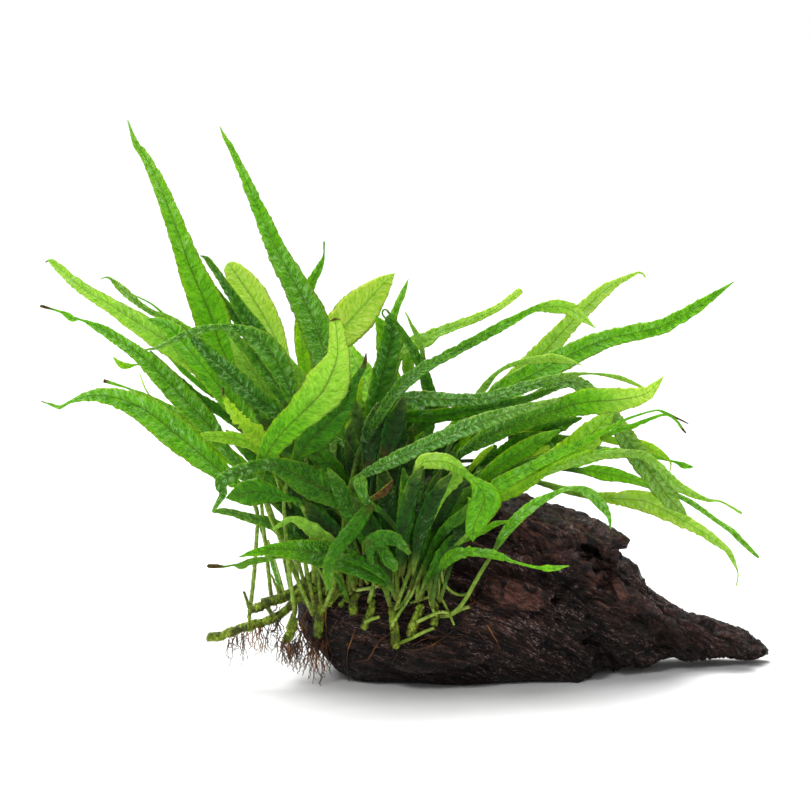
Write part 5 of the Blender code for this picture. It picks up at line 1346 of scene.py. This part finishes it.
def makeStrands(name, paths, material, sides=2):
    deselectAll()
    bpy.ops.curve.primitive_nurbs_path_add(radius=0.01, location=(0, 0, 0))
    item = bpy.context.object
    item.name = name
    curve = item.data
    curve.splines.clear()
    curve.bevel_depth, curve.bevel_resolution, curve.use_fill_caps = mm, sides, True
    curve.resolution_u = 1
    for points, radii in paths:
        spline = curve.splines.new("POLY")
        spline.points.add(len(points) - 1)
        spline.points.foreach_set("co", np.column_stack([np.array(points), np.ones(len(points))]).ravel())
        spline.points.foreach_set("radius", np.array(radii) / mm)
    activate(item)
    bpy.ops.object.convert(target="MESH")
    item = bpy.context.object
    bpy.ops.object.mode_set(mode="EDIT")
    bpy.ops.mesh.select_all(action="SELECT")
    bpy.ops.mesh.remove_doubles(threshold=0.001 * mm)
    bpy.ops.mesh.normals_make_consistent(inside=False)
    bpy.ops.object.mode_set(mode="OBJECT")
    bpy.ops.object.shade_smooth()
    return finishPiece(item, material, "rhizome")


strandLook = {
    "freeDepth": -0.030,     # m, where nothing lies behind the strand
    "clear": 0.6,            # mm in front of what lies behind
    "stipeRise": 2.0,        # mm towards the camera at the tip
    "sproutRise": 1.0,
    "sproutSway": 0.4,       # mm
    "taper": 0.2,            # how much thinner the tip is
    "rootTaper": 0.45,
}


def tracedStrand(radius, trace, lying=False, rise=0.0, sway=0.0, footDepth=None):
    rows = smoothRows(np.array(trace, float), 8)
    depths, last = [], footDepth
    for u, v in rows:
        deep = depthAt(u, v)
        if last is None:
            last = deep if deep is not None else strandLook["freeDepth"]
        if lying:
            last = last if deep is None else deep * 0.6 + last * 0.4
        elif deep is not None:
            last = min(last, deep - strandLook["clear"] * mm)
        depths.append(last)
    depths = np.convolve(np.pad(depths, 3, "edge"), np.ones(7) / 7, "valid")
    taper = strandLook["rootTaper"] if lying or sway else strandLook["taper"]
    points, radii = [], []
    seed = rng.random() * 90
    for i, (u, v) in enumerate(rows):
        t = i / (len(rows) - 1)
        real = radius * view["pixel"] * (1 - taper * t)
        here = place(u, v, depths[i] - (0.6 * real if lying else 0.0) - rise * t * mm)
        here += noise.noise_vector(Vector((i * 0.22, seed, 3.0))) * sway * mm
        here.z = max(here.z, real)
        points.append(here)
        radii.append(real)
    return points, radii


def makeRootMaterial():
    s = Shade("wiry root")
    colour = s.ramp(s.noise(s.spot(), 75.0, 3.0), (0.36, srgb(0.09, 0.05, 0.03)),
                    (0.53, srgb(0.32, 0.17, 0.07)), (0.70, srgb(0.64, 0.42, 0.19)))
    s.set(Base_Color=colour, Roughness=0.5, Specular_IOR_Level=0.35)
    s.set(Normal=s.bump(s.noise(s.spot(), 1400.0, 3.0), 0.5, 0.15 * mm))
    return s.material


def makeStipeMaterial():
    s = Shade("fern stipe")
    tone = s.noise(s.spot((1, 1, 0.3)), 120.0, 4.0)
    colour = s.ramp(tone, (0.30, srgb(0.36, 0.50, 0.10)), (0.55, srgb(0.58, 0.70, 0.24)),
                    (0.75, srgb(0.72, 0.80, 0.45)))
    flecks = s.level(s.noise(s.spot((1, 1, 0.6)), 900.0, 2.0), 0.60, 0.66)
    colour = s.mix(s.times(flecks, 0.8), colour, srgb(0.22, 0.16, 0.06))
    s.set(Base_Color=colour, Roughness=0.42, Specular_IOR_Level=0.35)
    s.set(Subsurface_Weight=0.2, Subsurface_Scale=0.0015)
    s.set(Normal=s.bump(tone, 0.3, 0.3 * mm))
    return s.material


# the finer roots, traced only as bunches: how many, and the ranges of their pixels, sizes and radii
hairRoots = {
    "bunch": {"count": 120, "u": (276, 327), "v": (600, 645), "drop": (10, 40), "lean": (-0.45, 0.40),
              "sway": (-1.4, 1.4), "foot": (-26, -10), "radius": (0.30, 0.65)},
    "fringe": {"count": 44, "u": (228, 284), "drop": (8, 32), "lean": (-6, 6), "radius": (0.32, 0.65)},
    "lying": {"count": 60, "u": (318, 470), "v": (588, 645), "way": (-0.6, 3.4), "size": (8, 26),
              "turn": (-0.7, 0.7), "radius": (0.25, 0.5)},
    "stubs": ((281, 299), (311, 327)),   # the mossy stubs stay bare between these pixels
    "belowStubs": (638, 648),
}


def bunchRoot(look):
    # hangs from below the left rhizomes
    u, v = rng.uniform(*look["u"]), rng.uniform(*look["v"])
    if any(low < u < high for low, high in hairRoots["stubs"]):
        v = rng.uniform(*hairRoots["belowStubs"])
    drop = rng.uniform(*look["drop"]) * (0.55 + (u - 280) / 80)
    lean = rng.uniform(*look["lean"])
    trace = [(u + lean * drop * t + rng.uniform(*look["sway"]), v + drop * t)
             for t in (0, 0.3, 0.6, 0.85, 1.0)]
    foot = rng.uniform(*look["foot"]) * mm
    return tracedStrand(rng.uniform(*look["radius"]), trace, sway=0.8, footDepth=foot)


def fringeRoot(look):
    # hangs from the underside of the rhizome at the far left
    u, drop = rng.uniform(*look["u"]), rng.uniform(*look["drop"])
    v = 642 - (u - 228) * 0.38 - rng.uniform(0, 4)
    trace = [(u + rng.uniform(*look["lean"]) * t, v + drop * t) for t in (0, 0.4, 0.8, 1.0)]
    return tracedStrand(rng.uniform(*look["radius"]), trace, sway=0.9)


def lyingRoot(look):
    # wanders over the wood
    u, v = rng.uniform(*look["u"]), rng.uniform(*look["v"])
    way, size = rng.uniform(*look["way"]), rng.uniform(*look["size"])
    trace = [(u, v)]
    for _ in range(4):
        way += rng.uniform(*look["turn"])
        trace.append((trace[-1][0] + math.cos(way) * size / 4, trace[-1][1] + math.sin(way) * size / 5))
    return tracedStrand(rng.uniform(*look["radius"]), trace, lying=True, sway=0.4)


def makeStrandPieces(mossy, wiry):
    stipes = [tracedStrand(*row, rise=strandLook["stipeRise"]) for row in strands["stipe"]]
    makeStrands("looseStipes", stipes, makeStipeMaterial())
    sprouts = [tracedStrand(*row, rise=strandLook["sproutRise"], sway=strandLook["sproutSway"])
               for row in strands["sprout"]]
    makeStrands("sideSprouts", sprouts, mossy, 4)
    hanging = [tracedStrand(*row, sway=1.2) for row in strands["hanging"]]
    hanging += [bunchRoot(hairRoots["bunch"]) for _ in range(hairRoots["bunch"]["count"])]
    hanging += [fringeRoot(hairRoots["fringe"]) for _ in range(hairRoots["fringe"]["count"])]
    makeStrands("hangingRoots", hanging, wiry, 1)
    lying = [tracedStrand(*row, lying=True, sway=0.5) for row in strands["lying"]]
    lying += [lyingRoot(hairRoots["lying"]) for _ in range(hairRoots["lying"]["count"])]
    makeStrands("lyingRoots", lying, wiry, 1)
    print("stipes, sprouts and roots")


scaleLook = {
    "radius": 0.16,        # mm
    "length": 1.0,
    "wide": 1.2,
    "thick": 0.7,
    "standOff": 0.35,      # mm, so that its foot is just under the skin
    # mm2 to each scale, and the range of their lengths
    "moss": {"spacing": 0.38, "size": (0.4, 1.15)},
    "hairs": {"spacing": 0.9, "size": (0.5, 1.3)},
    "hairsRight": -44,     # mm, the last hairy stipe
    "hairsTop": 62,
}


def makeScales(name, items, material, spacing, size, wanted=None):
    # short scales that stand off the surface: one modelled, copied all over
    bpy.ops.mesh.primitive_cone_add(vertices=4, radius1=scaleLook["radius"] * mm,
                                    depth=scaleLook["length"] * mm, end_fill_type="NOTHING",
                                    location=(0, 0, 0))
    scale = bpy.context.object
    shape = getPoints(scale.data)
    faces = [list(p.vertices) for p in scale.data.polygons]
    bpy.data.objects.remove(scale, do_unlink=True)
    points, polygons = [], []
    for item in items:
        mesh = item.data
        for polygon in mesh.polygons:
            if rng.random() > polygon.area / (spacing * mm * mm) or (wanted and not wanted(mesh, polygon)):
                continue
            away = Vector((rng.uniform(-1, 1), rng.uniform(-1, 1), rng.uniform(-1.0, 0.4))) * 0.8
            turn = (polygon.normal + away).normalized().to_track_quat("Z", "Y").to_matrix()
            long = rng.uniform(*size)
            base = len(points)
            for x, y, z in shape:
                tall = (z + scaleLook["standOff"] * mm) * long
                corner = Vector((x * scaleLook["wide"], y * scaleLook["thick"], tall))
                points.append(polygon.center + turn @ corner)
            polygons += [[base + k for k in face] for face in faces]
    mesh = bpy.data.meshes.new(name)
    mesh.from_pydata([p[:] for p in points], [], polygons)
    finishPiece(addObject(name, mesh), material, "rhizome")
    print(name, len(mesh.polygons))


def onLeftStipe(mesh, polygon):
    isStipe = mesh.attributes["stipe"].data[polygon.vertices[0]].value > 0.6
    left = polygon.center.x < scaleLook["hairsRight"] * mm
    return isStipe and left and polygon.center.z < scaleLook["hairsTop"] * mm


setCamera()
setSky()
setLights()
setFloor()
print("stage set")
driftwood = makeDriftwood()
makeFronds()
makeExtraFronds()
moss = makeRhizomeMaterial()
rootFibre = makeRootMaterial()
rhizomes = makeRhizomes(moss)
rememberSurfaces([driftwood] + rhizomes)
makeStrandPieces(moss, rootFibre)
makeScales("mossScales", rhizomes + [bpy.data.objects["sideSprouts"]], moss, **scaleLook["moss"])
leftStipes = [bpy.data.objects["leaf_" + name] for name in (
    "tall_left", "left_arching", "left_brown_tip", "left_wavy", "front_dark", "left_jagged")]
makeScales("stipeHairs", leftStipes, rootFibre, wanted=onLeftStipe, **scaleLook["hairs"])
